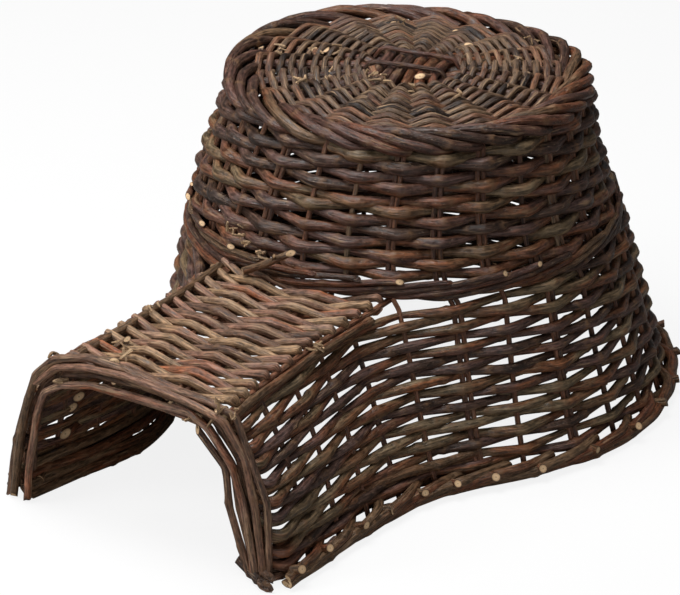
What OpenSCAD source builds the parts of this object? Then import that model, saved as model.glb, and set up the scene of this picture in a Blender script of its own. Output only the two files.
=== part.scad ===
// Wicker hedgehog basket: a round willow house with a roofed entrance tunnel and no floor.
// The tunnel's mouth faces -Y, +Z is up, and the part stands on z = 0.

/* [Body] */
// Height of the rods that roll over the rim
rim_height = 288; // [260:1:320]
// Radius of the wall stakes at the rim
rim_radius = 150; // [135:1:165]
// Height of the middle of the waist border
waist_height = 166; // [155:1:180]
// Radius of the wall stakes at the waist
waist_radius = 186; // [175:1:200]
// Radius of the wall stakes at the ground
foot_radius = 230; // [215:1:250]
// Rise of the woven lid's middle above its edge
lid_rise = 10; // [4:1:16]

/* [Tunnel] */
// Distance from the body's axis to the front of the mouth
tunnel_reach = 402; // [370:1:440]
// Half width between the feet of the mouth hoop's outer rod
mouth_half = 137; // [126:1:146]
// Half width to the +X side wall where it turns into the body
throat_half = 135; // [125:1:145]
// Half width to the other side wall, which is drawn in behind the mouth
throat_left_half = 114; // [110:1:145]
// Half width of the roof at the mouth
roof_front_half = 94; // [86:1:104]
// Half width of the roof where the side walls turn away from it
roof_half = 77; // [70:1:86]
// Height of the roof stakes at the mouth
roof_front_height = 138; // [130:1:144]
// How far the side walls bow out beside the mouth
side_bow = 14; // [6:1:18]
// Radius of the turn from tunnel into body at the ground
foot_turn = 190; // [140:5:220]
// Radius of the turn from tunnel into body under the waist
head_turn = 110; // [80:5:140]

/* [Willow rods] */
// Thickness of the upright stakes and the roof stakes
stake_d = 5.6; // [4.6:0.1:6.4]
// Thickness of the rods woven round the upper wall
upper_weaver_d = 7.6; // [6:0.1:8]
// Thickness of the rods woven round the skirt and tunnel
skirt_weaver_d = 7; // [5:0.1:7.4]
// Thickness of the rods woven across the roof
roof_weaver_d = 6; // [4.6:0.1:7]
// Thickness of the rods of the rim, waist and foot borders
border_d = 8; // [6.5:0.1:8.6]
// Thickness of the lid's sticks
stick_d = 7.4; // [6:0.1:8.4]
// Thickness of the rods woven round the lid
lid_weaver_d = 6.4; // [5:0.1:7]
// Thickness of the rods of the mouth hoop
hoop_d = 6.4; // [5.6:0.1:7.4]
// Thickness of the split rods that lash the hoop and bind the lid
lashing_d = 3; // [2:0.1:3.6]
// Air left between rods that lie against each other
clearance = 0.3; // [0.2:0.05:0.5]

/* [Weave] */
// Rows woven round the upper wall
upper_rows = 9; // [6:1:9]
// Rows woven round the skirt and tunnel
skirt_rows = 16; // [10:1:16]
// Rows woven round the lid
lid_rows = 10; // [6:1:10]
// Rods woven across the roof
roof_rows = 26; // [14:1:26]

/* [Hidden] */
// Corners of a bent rod's section
rod_sides = 5;
$fn = 16;
dark_brown = [0.30, 0.20, 0.14];
red_brown = [0.42, 0.25, 0.17];
olive = [0.45, 0.37, 0.24];
grey_brown = [0.52, 0.43, 0.34];
straw = [0.68, 0.55, 0.36];

// Stakes round the body, of which the front ones stop above the tunnel
stake_count = 28;
stake_step = 360 / stake_count;
first_skirt_stake = 4;
body_stations = stake_count - 2 * first_skirt_stake;
// Uprights along each side of the tunnel, from the hoop's leg to the body
side_stations = 7;
station_count = body_stations + 2 * side_stations;

// Borders: three rods lie one above another outside the stakes
border_step = border_d + clearance;
border_half = 1.5 * border_step;
waist_top = waist_height + border_half;
waist_bottom = waist_height - border_half;
foot_top = 3 * border_step;
rim_bottom = rim_height - 3 * border_step - border_d / 2;
border_bay = 2 * PI * waist_radius / stake_count;
// How far the rim's rods reach in over the lid
rim_lap = 21;
rim_tuck = rim_radius - rim_lap;
// The upper rods of a border stand out over the rod that comes through below them
border_bulge = 0.8 * border_d;
// Share of a bay that a border rod runs on past its last stake
border_tail = 0.25;
foot_swing = weave_swing(border_bay, stake_d, border_d, 0);
// Extra swing that clears a pair of spliced stakes
splice_swing = (stake_d + clearance) * (stake_d + border_d) / 2 / border_bay;

// Lid
lid_edge_height = rim_height - (stick_d + border_d) / 2 - clearance;
spoke_count = 20;
long_sticks = 6;
cross_sticks = 4;
stick_pitch = stick_d + clearance;
lid_turn = 15;
// The rods near the lid's middle are the thin tips, with this share of the full thickness
lid_tip = 0.7;
// Stakes or spokes by which each row's ends lie further round than the last row's
upper_shift = 5;
lid_shift = 3;
first_lid_row = (long_sticks + 1) * stick_pitch / sqrt(2) + stick_d;
last_lid_row = rim_tuck - (border_d + lid_weaver_d) / 2 - 2 * clearance;

// Mouth: rods side by side in one plane, bent into a hoop whose outer rod stands in the side walls
hoop_rods = 4;
hoop_step = hoop_d + clearance;
hoop_front = -(tunnel_reach - hoop_d / 2);
hoop_back = -(tunnel_reach - hoop_d);
hoop_corner = 30;
hoop_arch = 6;
// Half depth and half height of a lashing round the hoop's top
lashing_deep = (hoop_d + lashing_d) / 2 + clearance;
lashing_tall = lashing_deep + (hoop_rods - 1) / 2 * hoop_step;
lashing_turns = 2;
lashing_room = lashing_d + 2 * clearance;

// Straight lengths of a bowed stake
bow_lengths = 4;

// Roof
head_radius = wall_radius(waist_bottom);
roof_bend = turn_middle(roof_half, head_turn, head_radius).y;
roof_stake_count = 6;
roof_back_height = waist_bottom - stake_d / 2 - clearance;
roof_swing = weave_swing(roof_bay(-waist_radius), stake_d, roof_weaver_d, 0);
roof_row_front = hoop_back + lashing_room + roof_weaver_d / 2;
roof_row_back = waist_radius + foot_swing + splice_swing + border_bulge
    + (border_d + roof_weaver_d) / 2 + clearance;
edge_drop = roof_swing + roof_weaver_d / 2 + stake_d / 2 + clearance;
hoop_top = roof_front_height + roof_swing;

// Skirt
row_pitch = (waist_bottom - foot_top) / skirt_rows;

// Overhang of a cut end past the last stake it crosses
cut_end = 7;
// Gap between the two ends of one rod that goes right round
butt_gap = 2;
// Length and depth of the worn flat under each foot border rod
worn_flat = 10;
worn_depth = 0.12 * border_d;

// The body's axis lies behind the middle of the part
back_reach = (foot_radius + foot_swing + border_bulge + border_d / 2) * cos(stake_step / 2);
front_reach = lashing_deep + lashing_d / 2 - hoop_front;
axis_shift = (front_reach - back_reach) / 2;

upper_names = [for (j = [1:upper_rows]) str("upper_weaver_", j)];
skirt_names = [for (j = [1:skirt_rows]) str("skirt_weaver_", j)];
lid_names = [for (j = [1:lid_rows]) str("lid_weaver_", j)];

// Plain helpers

function unit(v) = v / norm(v);
function lerp(a, b, t) = a + (b - a) * t;
function lift(p, z) = [p.x, p.y, z];

// Unit vector that points out of the body, the angle counted from the mouth towards +X
function outward(angle) = [sin(angle), -cos(angle), 0];

function stake_angle(i) = (i + 0.5) * stake_step;

// How far a woven rod's middle swings to each side so that it clears the stakes
function weave_swing(bay, upright_d, rod_d, lean) =
    let (gap = (upright_d + rod_d) / 2 + clearance)
    gap / (cos(atan(2 * gap / bay)) * cos(lean));

// Radius of the wall's stakes at a height
function wall_radius(z) =
    z > waist_height
        ? lerp(waist_radius, rim_radius, (z - waist_height) / (rim_height - waist_height))
        : lerp(foot_radius, waist_radius, z / waist_height);

upper_lean = atan((waist_radius - rim_radius) / (rim_height - waist_height));

// A stake and the one spliced in beside it stand this far to each side of their place
splice_turn = asin((stake_d + clearance) / 2 / waist_radius);

// Rods

function heading(path, i) =
    unit(path[min(i + 1, len(path) - 1)] - path[max(i - 1, 0)]);

// One ring of a rod's corners, with nothing below the ground
function ring(p, along, d, sides, turn, across) =
    let (u = unit(cross(along, across)), v = cross(u, along))
    [for (k = [0:sides - 1])
        let (a = turn + 360 * k / sides, q = p + d / 2 * (cos(a) * u + sin(a) * v))
        lift(q, max(q.z, 0))];

// A bent rod along a path of points, square to `across` at each of them
module rod(path, d, turn = 0, across = [0, 0, 1]) {
    last = len(path) - 1;
    sides = rod_sides;
    corners = [for (i = [0:last]) each ring(path[i], heading(path, i), d, sides, turn, across)];
    start_cap = [[for (k = [0:sides - 1]) k]];
    end_cap = [[for (k = [sides - 1:-1:0]) last * sides + k]];
    skin = [for (i = [0:last - 1], k = [0:sides - 1])
        let (a = i * sides + k, b = i * sides + (k + 1) % sides)
        each [[a, a + sides, b], [b, a + sides, b + sides]]];
    polyhedron(corners, concat(start_cap, end_cap, skin));
}

// A border rod lies on a flat side
module border_rod(path) {
    rod(path, border_d, 90);
}

module straight_rod(a, b, d) {
    v = b - a;
    translate(a)
        rotate([0, acos(v.z / norm(v)), atan2(v.y, v.x)])
            cylinder(h = norm(v), d = d);
}

// Plan of the tunnel wall and skirt

// Middle of the turn's circle, and the angles at which the wall enters and leaves it
function turn_middle(half, turn, radius) =
    [half + turn, -sqrt(pow(radius + turn, 2) - pow(half + turn, 2)), 0];

// Point and outward direction at a length along the wall, from the mouth on the +X side.
// The hoop's legs, at the start, stand in the mouth's plane.
function wall_plan(run, front_half, half, turn, radius) =
    let (
        middle = turn_middle(half, turn, radius),
        start = [front_half, hoop_front, 0],
        bend = [half, middle.y, 0],
        straight = norm(bend - start),
        way = (bend - start) / straight,
        sweep = 180 - atan2(-middle.y, -middle.x),
        arc = turn * sweep * PI / 180,
        angle = 180 - (run - straight) / turn * 180 / PI,
        body_angle = atan2(middle.x, -middle.y) + (run - straight - arc) / radius * 180 / PI
    )
    run == 0 ? [start, [1, 0, 0]]
    : run <= straight ? [lerp(start, bend, run / straight), [way.y, -way.x, 0]]
    : run <= straight + arc
        ? [middle + turn * [cos(angle), sin(angle), 0], -[cos(angle), sin(angle), 0]]
    : [radius * outward(body_angle), outward(body_angle)];

// Length along the wall from the mouth to the first stake that stands on the body's circle
function side_run(front_half, half, turn, radius) =
    let (
        middle = turn_middle(half, turn, radius),
        straight = norm([half - front_half, middle.y - hoop_front]),
        sweep = 180 - atan2(-middle.y, -middle.x),
        past = stake_angle(first_skirt_stake) + splice_turn - atan2(middle.x, -middle.y)
    )
    straight + (turn * sweep + radius * past) * PI / 180;

function side_place(s, front_half, half, turn, radius) =
    wall_plan(s / side_stations * side_run(front_half, half, turn, radius),
        front_half, half, turn, radius);

function mirrored(v) = [-v.x, v.y, v.z];

// Foot, head and outward direction of every upright, from the hoop's +X leg round the back
function station(s) =
    s < side_stations ? side_station(s, throat_half)
    : s < side_stations + body_stations
        ? let (out = outward(stake_angle(first_skirt_stake + s - side_stations) + splice_turn))
          [foot_radius * out, lift(head_radius * out, waist_bottom), out]
    : [for (v = side_station(station_count - 1 - s, throat_left_half)) mirrored(v)];

// In front of the body an upright ends under the roof's edge, and beside it under the waist
function side_station(s, throat) =
    let (
        foot = side_place(s, mouth_half, throat, foot_turn, foot_radius),
        head = side_place(s, roof_front_half, roof_half, head_turn, head_radius),
        top = head[0].y < -waist_radius ? roof_height(head[0].y) - stake_d : waist_bottom
    )
    [foot[0], lift(head[0], top - clearance), unit(foot[1] + head[1])];

stations = [for (s = [0:station_count - 1]) station(s)];

// Highest point that the woven rows reach at a stake
function row_top(s) =
    stations[s][1].y < -waist_radius ? stations[s][1].z + stake_d / 2 - edge_drop : waist_bottom;

// How far a stake bows out at a share of its height: most beside the mouth, not at all on the body
function bow(s, share) =
    let (
        most = side_bow * max(0, 1 - min(s, station_count - 1 - s) / side_stations),
        low = min(floor(share * bow_lengths), bow_lengths - 1) / bow_lengths,
        high = low + 1 / bow_lengths
    )
    4 * most * lerp(low * (1 - low), high * (1 - high), (share - low) * bow_lengths);

// Point on a stake at a height, swung out of the wall by an offset
function on_stake(s, z, swing) =
    let (foot = stations[s][0], head = stations[s][1], share = z / head.z)
    lerp(foot, head, share) + (bow(s, share) + swing) * stations[s][2];

// Lean of a stake from upright at a height
function stake_lean(s, z) =
    let (way = on_stake(s, z + 1, 0) - on_stake(s, z - 1, 0))
    acos(way.z / norm(way));

function upright_d(s) = s == 0 || s == station_count - 1 ? hoop_d : stake_d;

// Swing of a rod that passes an upright of the skirt or tunnel at a height
function station_swing(s, z, rod_d) =
    weave_swing(station_bay(s), upright_d(s), rod_d, stake_lean(s, z));

// Bay between a stake and the next one
function station_bay(s) =
    let (t = min(max(s, 0), station_count - 2))
    norm(stations[t + 1][0] - stations[t][0]);

// Direction along the wall at an upright, towards the next one
function along_wall(s) = cross([0, 0, 1], stations[s][2]);

// Paths of the woven rods

function upper_row_height(j) =
    lerp(waist_top, rim_bottom, (j + 0.5) / upper_rows);

// A rod round the upper wall, in front of every second stake, its ends meeting between two
function upper_row(j) =
    let (
        z = upper_row_height(j),
        r = wall_radius(z),
        swing = weave_swing(2 * PI * r / stake_count, stake_d, upper_weaver_d, upper_lean),
        first = upper_shift * j,
        half_step = stake_step / 2 - butt_gap / r * 90 / PI
    )
    concat(
        [lift(r * outward(stake_angle(first) - splice_turn - half_step), z)],
        [for (i = [0:stake_count - 1])
            let (s = first + i, side = (s + j) % 2 == 0 ? 1 : -1)
            lift((r + side * swing) * outward(stake_angle(s) - splice_turn), z)],
        [lift(r * outward(stake_angle(first - 1) - splice_turn + half_step), z)]);

function skirt_row_height(j) = foot_top + (j + 0.5) * row_pitch;

// First upright that a row passes: the upper rows end where the roof comes down to them
function first_station(j) =
    let (
        top = skirt_row_height(j) + skirt_weaver_d / 2,
        clear = [for (s = [0:side_stations - 1]) if (top <= row_top(s)) s]
    )
    len(clear) > 0 ? clear[0] : side_stations;

// A rod from one leg of the hoop round the back to the other, cut off flush with the hoop's front
function skirt_row(j) =
    let (
        z = skirt_row_height(j),
        first = first_station(j),
        last = station_count - 1 - first,
        past = first == 0 ? hoop_d / 2 : cut_end,
        crossings = [for (s = [first:last])
            on_stake(s, z, ((s + j) % 2 == 0 ? 1 : -1) * station_swing(s, z, skirt_weaver_d))]
    )
    concat(
        [crossings[0] - past * along_wall(first)],
        crossings,
        [crossings[last - first] + past * along_wall(last)]);

function lid_height(r) = lid_edge_height + lid_rise * (1 - pow(r / rim_radius, 2));

function spoke_angle(i) = lid_turn + (i + 0.5) * 360 / spoke_count;

function lid_rod_d(j) = lid_weaver_d * lerp(lid_tip, 1, j / (lid_rows - 1));

// A rod round the lid, over every second spoke
function lid_row(j) =
    let (
        r = lerp(first_lid_row, last_lid_row, j / (lid_rows - 1)),
        z = lid_height(r),
        swing = weave_swing(2 * PI * r / spoke_count, stick_d, lid_rod_d(j), 0),
        first = lid_shift * j,
        half_step = 180 / spoke_count - butt_gap / r * 90 / PI
    )
    concat(
        [lift(r * outward(spoke_angle(first) - half_step), z)],
        [for (i = [0:spoke_count - 1])
            let (s = first + i, side = (s + j) % 2 == 0 ? 1 : -1)
            lift(r * outward(spoke_angle(s)), z + side * swing)],
        [lift(r * outward(spoke_angle(first - 1) + half_step), z)]);

// Lid

// A stick that lies straight in the middle and fans out to a spoke at each end
module lid_stick(place, count, first_spoke, level, turn) {
    offset_x = (place - (count - 1) / 2) * stick_pitch;
    spread = (place - (count - 1) / 2) * 360 / spoke_count;
    straight_half = stick_pitch * (count == long_sticks ? cross_sticks : long_sticks) / 2;
    edge = rim_radius - stake_d / 2 - stick_d / 2;
    middle = lid_height(0) + level * stick_pitch / 2;
    rotate([0, 0, turn])
        rod([
            [sin(spread) * edge, -cos(spread) * edge, lid_height(edge)],
            [sin(spread) * first_spoke, -cos(spread) * first_spoke, lid_height(first_spoke)],
            [offset_x, -straight_half, middle],
            [offset_x, straight_half, middle],
            [sin(spread) * first_spoke, cos(spread) * first_spoke, lid_height(first_spoke)],
            [sin(spread) * edge, cos(spread) * edge, lid_height(edge)]
        ], stick_d);
}

module lid_long_sticks() {
    for (i = [0:long_sticks - 1])
        lid_stick(i, long_sticks, first_lid_row - lid_weaver_d, 1, lid_turn);
}

module lid_cross_sticks() {
    for (i = [0:cross_sticks - 1])
        lid_stick(i, cross_sticks, first_lid_row - lid_weaver_d, -1, lid_turn + 90);
}

// Two split rods that hold the sticks down where they cross
module lid_binding() {
    over = lid_height(0) + (stick_pitch + stick_d + lashing_d) / 2 + clearance;
    half = (long_sticks / 2 + 0.5) * stick_pitch;
    for (side = [-1, 1])
        rotate([0, 0, lid_turn])
            straight_rod(
                [-half, side * cross_sticks / 4 * stick_pitch, over],
                [half, side * cross_sticks / 4 * stick_pitch, over],
                lashing_d);
}

module lid_weaver(j) {
    rod(lid_row(j), lid_rod_d(j));
}

// Borders

// Each rod starts on the lid's edge, rolls over the rim and ends three rods down outside
module rim_border() {
    over_bay = 2 * PI * rim_radius / stake_count;
    swing = weave_swing(over_bay, stake_d, border_d, upper_lean);
    for (i = [0:stake_count - 1]) {
        angle = stake_angle(i) - splice_turn;
        border_rod(concat(
            [lift(rim_tuck * outward(angle), rim_height),
             lift(rim_radius * outward(angle + stake_step), rim_height)],
            [for (k = [1, 2, 3, 3 + border_tail])
                let (z = rim_height - k * border_step)
                lift((wall_radius(z) + swing) * outward(angle + (k + 1) * stake_step), z)]));
    }
}

// Each rod starts inside, passes three stakes outside while it climbs, and is cut off
module waist_border() {
    swing = weave_swing(border_bay, stake_d, border_d, upper_lean) + splice_swing;
    for (i = [0:stake_count - 1])
        border_rod(concat(
            [lift((waist_radius - swing) * outward(stake_angle(i)), waist_height - border_step)],
            [for (k = [1, 2, 3, 3 + border_tail])
                lift((waist_radius + swing + (k > 1 ? border_bulge : 0)) * outward(stake_angle(i + k)),
                    waist_height + (k - 2) * border_step)]));
}

// Where a foot border rod passes a stake: inside first, then outside, each time higher
function foot_pass(s, k) =
    let (
        swing = station_swing(s, border_step / 2, border_d),
        z = (max(k, 1) - 0.5) * border_step,
        offset = k == 0 ? -swing : k == 1 ? swing : swing + border_bulge,
        p = lift(on_stake(s, border_step / 2, offset), z),
        wear = [0, 0, worn_depth]
    )
    k == 1 && s < station_count - 1 ? [p - wear, p + worn_flat * along_wall(s) - wear] : [p];

function foot_rod(i) =
    let (
        last = min(i + 3, station_count - 1),
        passes = [for (s = [max(i, 0):last]) each foot_pass(s, s - i)],
        tail = last < station_count - 1 ? border_tail : hoop_d / 2 / station_bay(last),
        way = station_bay(last) * along_wall(last) + [0, 0, border_step]
    )
    concat(passes, [passes[len(passes) - 1] + tail * way]);

// As at the waist, but along the open plan of the skirt and tunnel, on worn flats
module foot_border() {
    for (i = [-2:station_count - 2])
        border_rod(foot_rod(i));
}

// Upper wall

module upper_stakes() {
    top = rim_height - border_d / 2 - clearance;
    for (i = [0:stake_count - 1]) {
        out = outward(stake_angle(i) - splice_turn);
        straight_rod(
            lift(wall_radius(waist_height) * out, waist_height)
                + (waist_height - waist_bottom) * [tan(upper_lean) * out.x, tan(upper_lean) * out.y, -1],
            lift(wall_radius(top) * out, top),
            stake_d);
    }
}

module upper_weaver(j) {
    rod(upper_row(j), upper_weaver_d);
}

// Skirt and tunnel walls

module skirt_stakes() {
    for (s = [side_stations:side_stations + body_stations - 1])
        straight_rod(on_stake(s, stake_d / 2, 0), on_stake(s, waist_top, 0), stake_d);
}

module tunnel_stakes(first, last) {
    for (s = [first:last])
        rod([for (i = [0:bow_lengths])
                on_stake(s, max(stake_d / 2, i / bow_lengths * stations[s][1].z), 0)],
            stake_d, 0, [0, 1, 0]);
}

module tunnel_stakes_right() {
    tunnel_stakes(1, side_stations - 1);
}

module tunnel_stakes_left() {
    tunnel_stakes(side_stations + body_stations, station_count - 2);
}

module skirt_weaver(j) {
    rod(skirt_row(j), skirt_weaver_d);
}

// Roof

function roof_height(y) =
    lerp(roof_front_height, roof_back_height, (y + tunnel_reach) / (tunnel_reach - waist_radius));

// The roof narrows evenly from the mouth to the body
function roof_side(y) =
    lerp(roof_front_half, roof_half, (y - hoop_front) / (roof_bend - hoop_front));

function roof_bay(y) = 2 * roof_side(y) / (roof_stake_count - 1);

// Point on a roof stake, moved up by a swing
function on_roof(k, y, swing) = [k * roof_bay(y) - roof_side(y), y, roof_height(y) + swing];

module roof_stakes() {
    front = hoop_back + clearance;
    for (k = [0:roof_stake_count - 1]) {
        x = on_roof(k, -head_radius, 0).x;
        back = -sqrt(pow(head_radius, 2) - pow(x, 2)) + cut_end;
        straight_rod(on_roof(k, front, 0), on_roof(k, back, 0), stake_d);
    }
}

// Where a row of the roof passes a stake: straight at the mouth, bent round the waist at the back
function roof_pass(k, share, swing) =
    let (x = on_roof(k, lerp(roof_row_front, -roof_row_back, share), 0).x)
    on_roof(k, lerp(roof_row_front, -sqrt(pow(roof_row_back, 2) - pow(x, 2)), share), swing);

function roof_row(j) =
    let (
        share = j / (roof_rows - 1),
        last = roof_stake_count - 1,
        past = [cut_end, 0, 0]
    )
    concat(
        [roof_pass(0, share, 0) - past],
        [for (k = [0:last]) roof_pass(k, share, (k + j) % 2 == 0 ? roof_swing : -roof_swing)],
        [roof_pass(last, share, 0) + past]);

module roof_weavers() {
    for (j = [0:roof_rows - 1])
        rod(roof_row(j), roof_weaver_d);
}

// Two rods along the top of a side wall, one on each side of its stakes
function roof_edge(side, face) =
    let (
        passes = [for (place = [0:side_stations - 1])
            let (
                s = side > 0 ? place : station_count - 1 - place,
                z = row_top(s) + stake_d / 2 + clearance
            )
            if (row_top(s) < waist_bottom)
                on_stake(s, z, face * (stake_d + clearance) / cos(stake_lean(s, z)))],
        from_hoop = (hoop_d / 2 + clearance) / (passes[1].y - passes[0].y)
    )
    concat([lerp(passes[0], passes[1], from_hoop)], [for (i = [1:len(passes) - 1]) passes[i]]);

module roof_edge_right() {
    for (face = [-1, 1])
        rod(roof_edge(1, face), stake_d);
}

module roof_edge_left() {
    for (face = [-1, 1])
        rod(roof_edge(-1, face), stake_d);
}

// Mouth

// Room that the wall's rods need between the hoop's outer rod and the next one
weave_room = station_swing(0, border_step / 2, border_d) + (border_d + hoop_d) / 2 + clearance;

// Line of the wall beside the mouth, from foot to head, in the mouth's plane
hoop_leg = [for (i = [0:bow_lengths])
    let (p = on_stake(0, i / bow_lengths * stations[0][1].z, 0))
    [p.x, p.z]];

// Direction out of the hoop at a bend of its leg
function leg_normal(i) =
    let (way = unit(hoop_leg[min(i + 1, bow_lengths)] - hoop_leg[max(i - 1, 0)]))
    [way.y, -way.x];

// Right half of a hoop rod, counted from the outer one: leg, corner and half of the top
function hoop_half(k) =
    let (
        inward = k == 0 ? 0 : weave_room + (k - 1) * hoop_step,
        leg = [for (i = [0:bow_lengths]) hoop_leg[i] - inward * leg_normal(i)],
        start = leg[bow_lengths - 1],
        way = unit(leg[bow_lengths] - start),
        lean = atan2(-way.x, way.y),
        radius = hoop_corner - k * hoop_step,
        top = hoop_top - k * hoop_step,
        bend_height = top - radius * (1 - sin(lean)),
        bend = start + way * (bend_height - start.y) / way.y,
        middle = bend - radius * [cos(lean), sin(lean)]
    )
    concat(
        [[leg[0].x, 0]],
        [for (i = [1:bow_lengths - 1]) leg[i]],
        [for (t = [0:3]) let (a = lerp(lean, 90, t / 3)) middle + radius * [cos(a), sin(a)]],
        [[0, top + hoop_arch]]);

function hoop_path(k) =
    let (half = hoop_half(k), last = len(half) - 1)
    concat(
        [for (p = half) [p.x, hoop_front, p.y]],
        [for (i = [last - 1:-1:0]) [-half[i].x, hoop_front, half[i].y]]);

module mouth_hoop() {
    for (k = [0:hoop_rods - 1])
        rod(hoop_path(k), hoop_d, 0, [0, 1, 0]);
}

// Corners of one turn of a lashing, each cut off
function lashing_outline() =
    let (y = lashing_deep, z = lashing_tall, cut = lashing_deep / 2)
    [[y, z - cut], [y - cut, z], [cut - y, z], [-y, z - cut],
     [-y, cut - z], [cut - y, -z], [y - cut, -z], [y, cut - z]];

// Split rods wound round the hoop's top beside a roof stake
module hoop_lashings() {
    corners = lashing_outline();
    count = len(corners);
    start = on_roof(roof_stake_count - 2, hoop_front, 0).x - stake_d - lashing_d / 2;
    flat = hoop_half(0)[bow_lengths + 3].x;
    pitch = (lashing_d + clearance) / count;
    for (side = [-1, 1])
        rod([for (i = [0:count * lashing_turns])
                let (
                    x = start - i * pitch,
                    corner = corners[i % count],
                    middle = hoop_top - (hoop_rods - 1) / 2 * hoop_step + hoop_arch * (1 - x / flat)
                )
                [side * x, hoop_front + corner.x, middle + corner.y]],
            lashing_d, 0, [1, 0, 0]);
}

// Every piece in its place in the part

module placed(tint) {
    translate([0, axis_shift, 0])
        color(tint)
            children();
}

placed(red_brown) lid_long_sticks();
placed(red_brown) lid_cross_sticks();
placed(straw) lid_binding();
placed(dark_brown) rim_border();
placed(red_brown) upper_stakes();
placed(dark_brown) waist_border();
placed(red_brown) skirt_stakes();
placed(red_brown) tunnel_stakes_right();
placed(red_brown) tunnel_stakes_left();
placed(dark_brown) foot_border();
placed(red_brown) roof_stakes();
placed(grey_brown) roof_weavers();
placed(dark_brown) roof_edge_right();
placed(dark_brown) roof_edge_left();
placed(grey_brown) mouth_hoop();
placed(straw) hoop_lashings();
for (j = [0:lid_rows - 1])
    placed(grey_brown) lid_weaver(j);
for (j = [0:upper_rows - 1])
    placed(dark_brown) upper_weaver(j);
for (j = [0:skirt_rows - 1])
    placed(olive) skirt_weaver(j);
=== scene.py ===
"""Looks of the wicker hedgehog basket: every willow rod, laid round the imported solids."""

import logging
import math
from dataclasses import dataclass, field
from enum import Enum
from typing import Any, Iterable, Sequence

import bmesh
import bpy
import numpy as np
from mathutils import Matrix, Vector


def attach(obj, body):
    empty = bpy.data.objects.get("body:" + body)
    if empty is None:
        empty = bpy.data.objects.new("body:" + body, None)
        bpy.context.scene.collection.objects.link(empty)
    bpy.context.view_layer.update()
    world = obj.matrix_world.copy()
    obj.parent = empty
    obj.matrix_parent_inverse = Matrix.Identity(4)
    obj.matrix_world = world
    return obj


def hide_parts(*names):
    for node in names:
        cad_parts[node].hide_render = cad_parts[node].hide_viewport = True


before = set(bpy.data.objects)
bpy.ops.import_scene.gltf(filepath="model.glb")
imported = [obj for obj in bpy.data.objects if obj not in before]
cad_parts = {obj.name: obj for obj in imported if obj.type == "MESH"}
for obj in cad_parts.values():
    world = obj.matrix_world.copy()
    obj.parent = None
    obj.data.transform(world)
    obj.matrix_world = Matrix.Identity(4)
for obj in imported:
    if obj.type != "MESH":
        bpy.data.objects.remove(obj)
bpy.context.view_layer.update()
log = logging.getLogger("basket")

Points = np.ndarray
Pair = tuple[float, float]
Triple = tuple[float, float, float]
Colour = Triple

# The paths are worked out in millimetres, with the body's axis at x = y = 0
METRES = 0.001
AXIS_SHIFT = 79.4795
IMAGE_WIDTH = 680
IMAGE_HEIGHT = 595

# How a rod grows: lengths in millimetres, the rest as shares of its thickness or of a length
ANY_PHASE = (0.0, 6.3)
KNOT_LENGTH = 3.2
KNOT_SPREAD = (0.45, 1.3)
KINK_FACTOR = 1.3
SWELL_LENGTH = 31.0
SWELL_SHARE = 0.035
CUT_RINGS = (1.0, 0.55, 0.2)
SHARP_ANGLE = 50.0
INSIDE_SWELL = 0.78
OUTSIDE_SWELL = 1.20


class Slot(Enum):
    """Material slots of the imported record."""

    DARK = "dark_willow"
    RED = "red_willow"
    OLIVE = "olive_willow"
    GREY = "grey_willow"
    SPLIT = "split_willow"


# Node trees


class Wire:
    """A node's output, with the sums that are done on it."""

    def __init__(self, web: "Web", socket: bpy.types.NodeSocket) -> None:
        """Keep the output and the tree that it belongs to."""
        self.web = web
        self.socket = socket

    def _sum(self, operation: str, first: Any, second: Any) -> "Wire":
        """Return a Math node's result."""
        return self.web.node("ShaderNodeMath", {"operation": operation}, {0: first, 1: second})

    def __add__(self, other: Any) -> "Wire":
        """Return self + other."""
        return self._sum("ADD", self, other)

    def __radd__(self, other: Any) -> "Wire":
        """Return other + self."""
        return self._sum("ADD", other, self)

    def __sub__(self, other: Any) -> "Wire":
        """Return self - other."""
        return self._sum("SUBTRACT", self, other)

    def __rsub__(self, other: Any) -> "Wire":
        """Return other - self."""
        return self._sum("SUBTRACT", other, self)

    def __mul__(self, other: Any) -> "Wire":
        """Return self * other."""
        return self._sum("MULTIPLY", self, other)

    def __rmul__(self, other: Any) -> "Wire":
        """Return other * self."""
        return self._sum("MULTIPLY", other, self)

    def rise(self, low: float, high: float) -> "Wire":
        """Return 0 below low and 1 above high, with a smooth step between them.

        Args:
            low: value at which the step starts.
            high: value at which it ends.

        Returns:
            The stepped value.
        """
        settings = {"interpolation_type": "SMOOTHSTEP"}
        return self.web.node("ShaderNodeMapRange", settings, {0: self, 1: low, 2: high})


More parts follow.
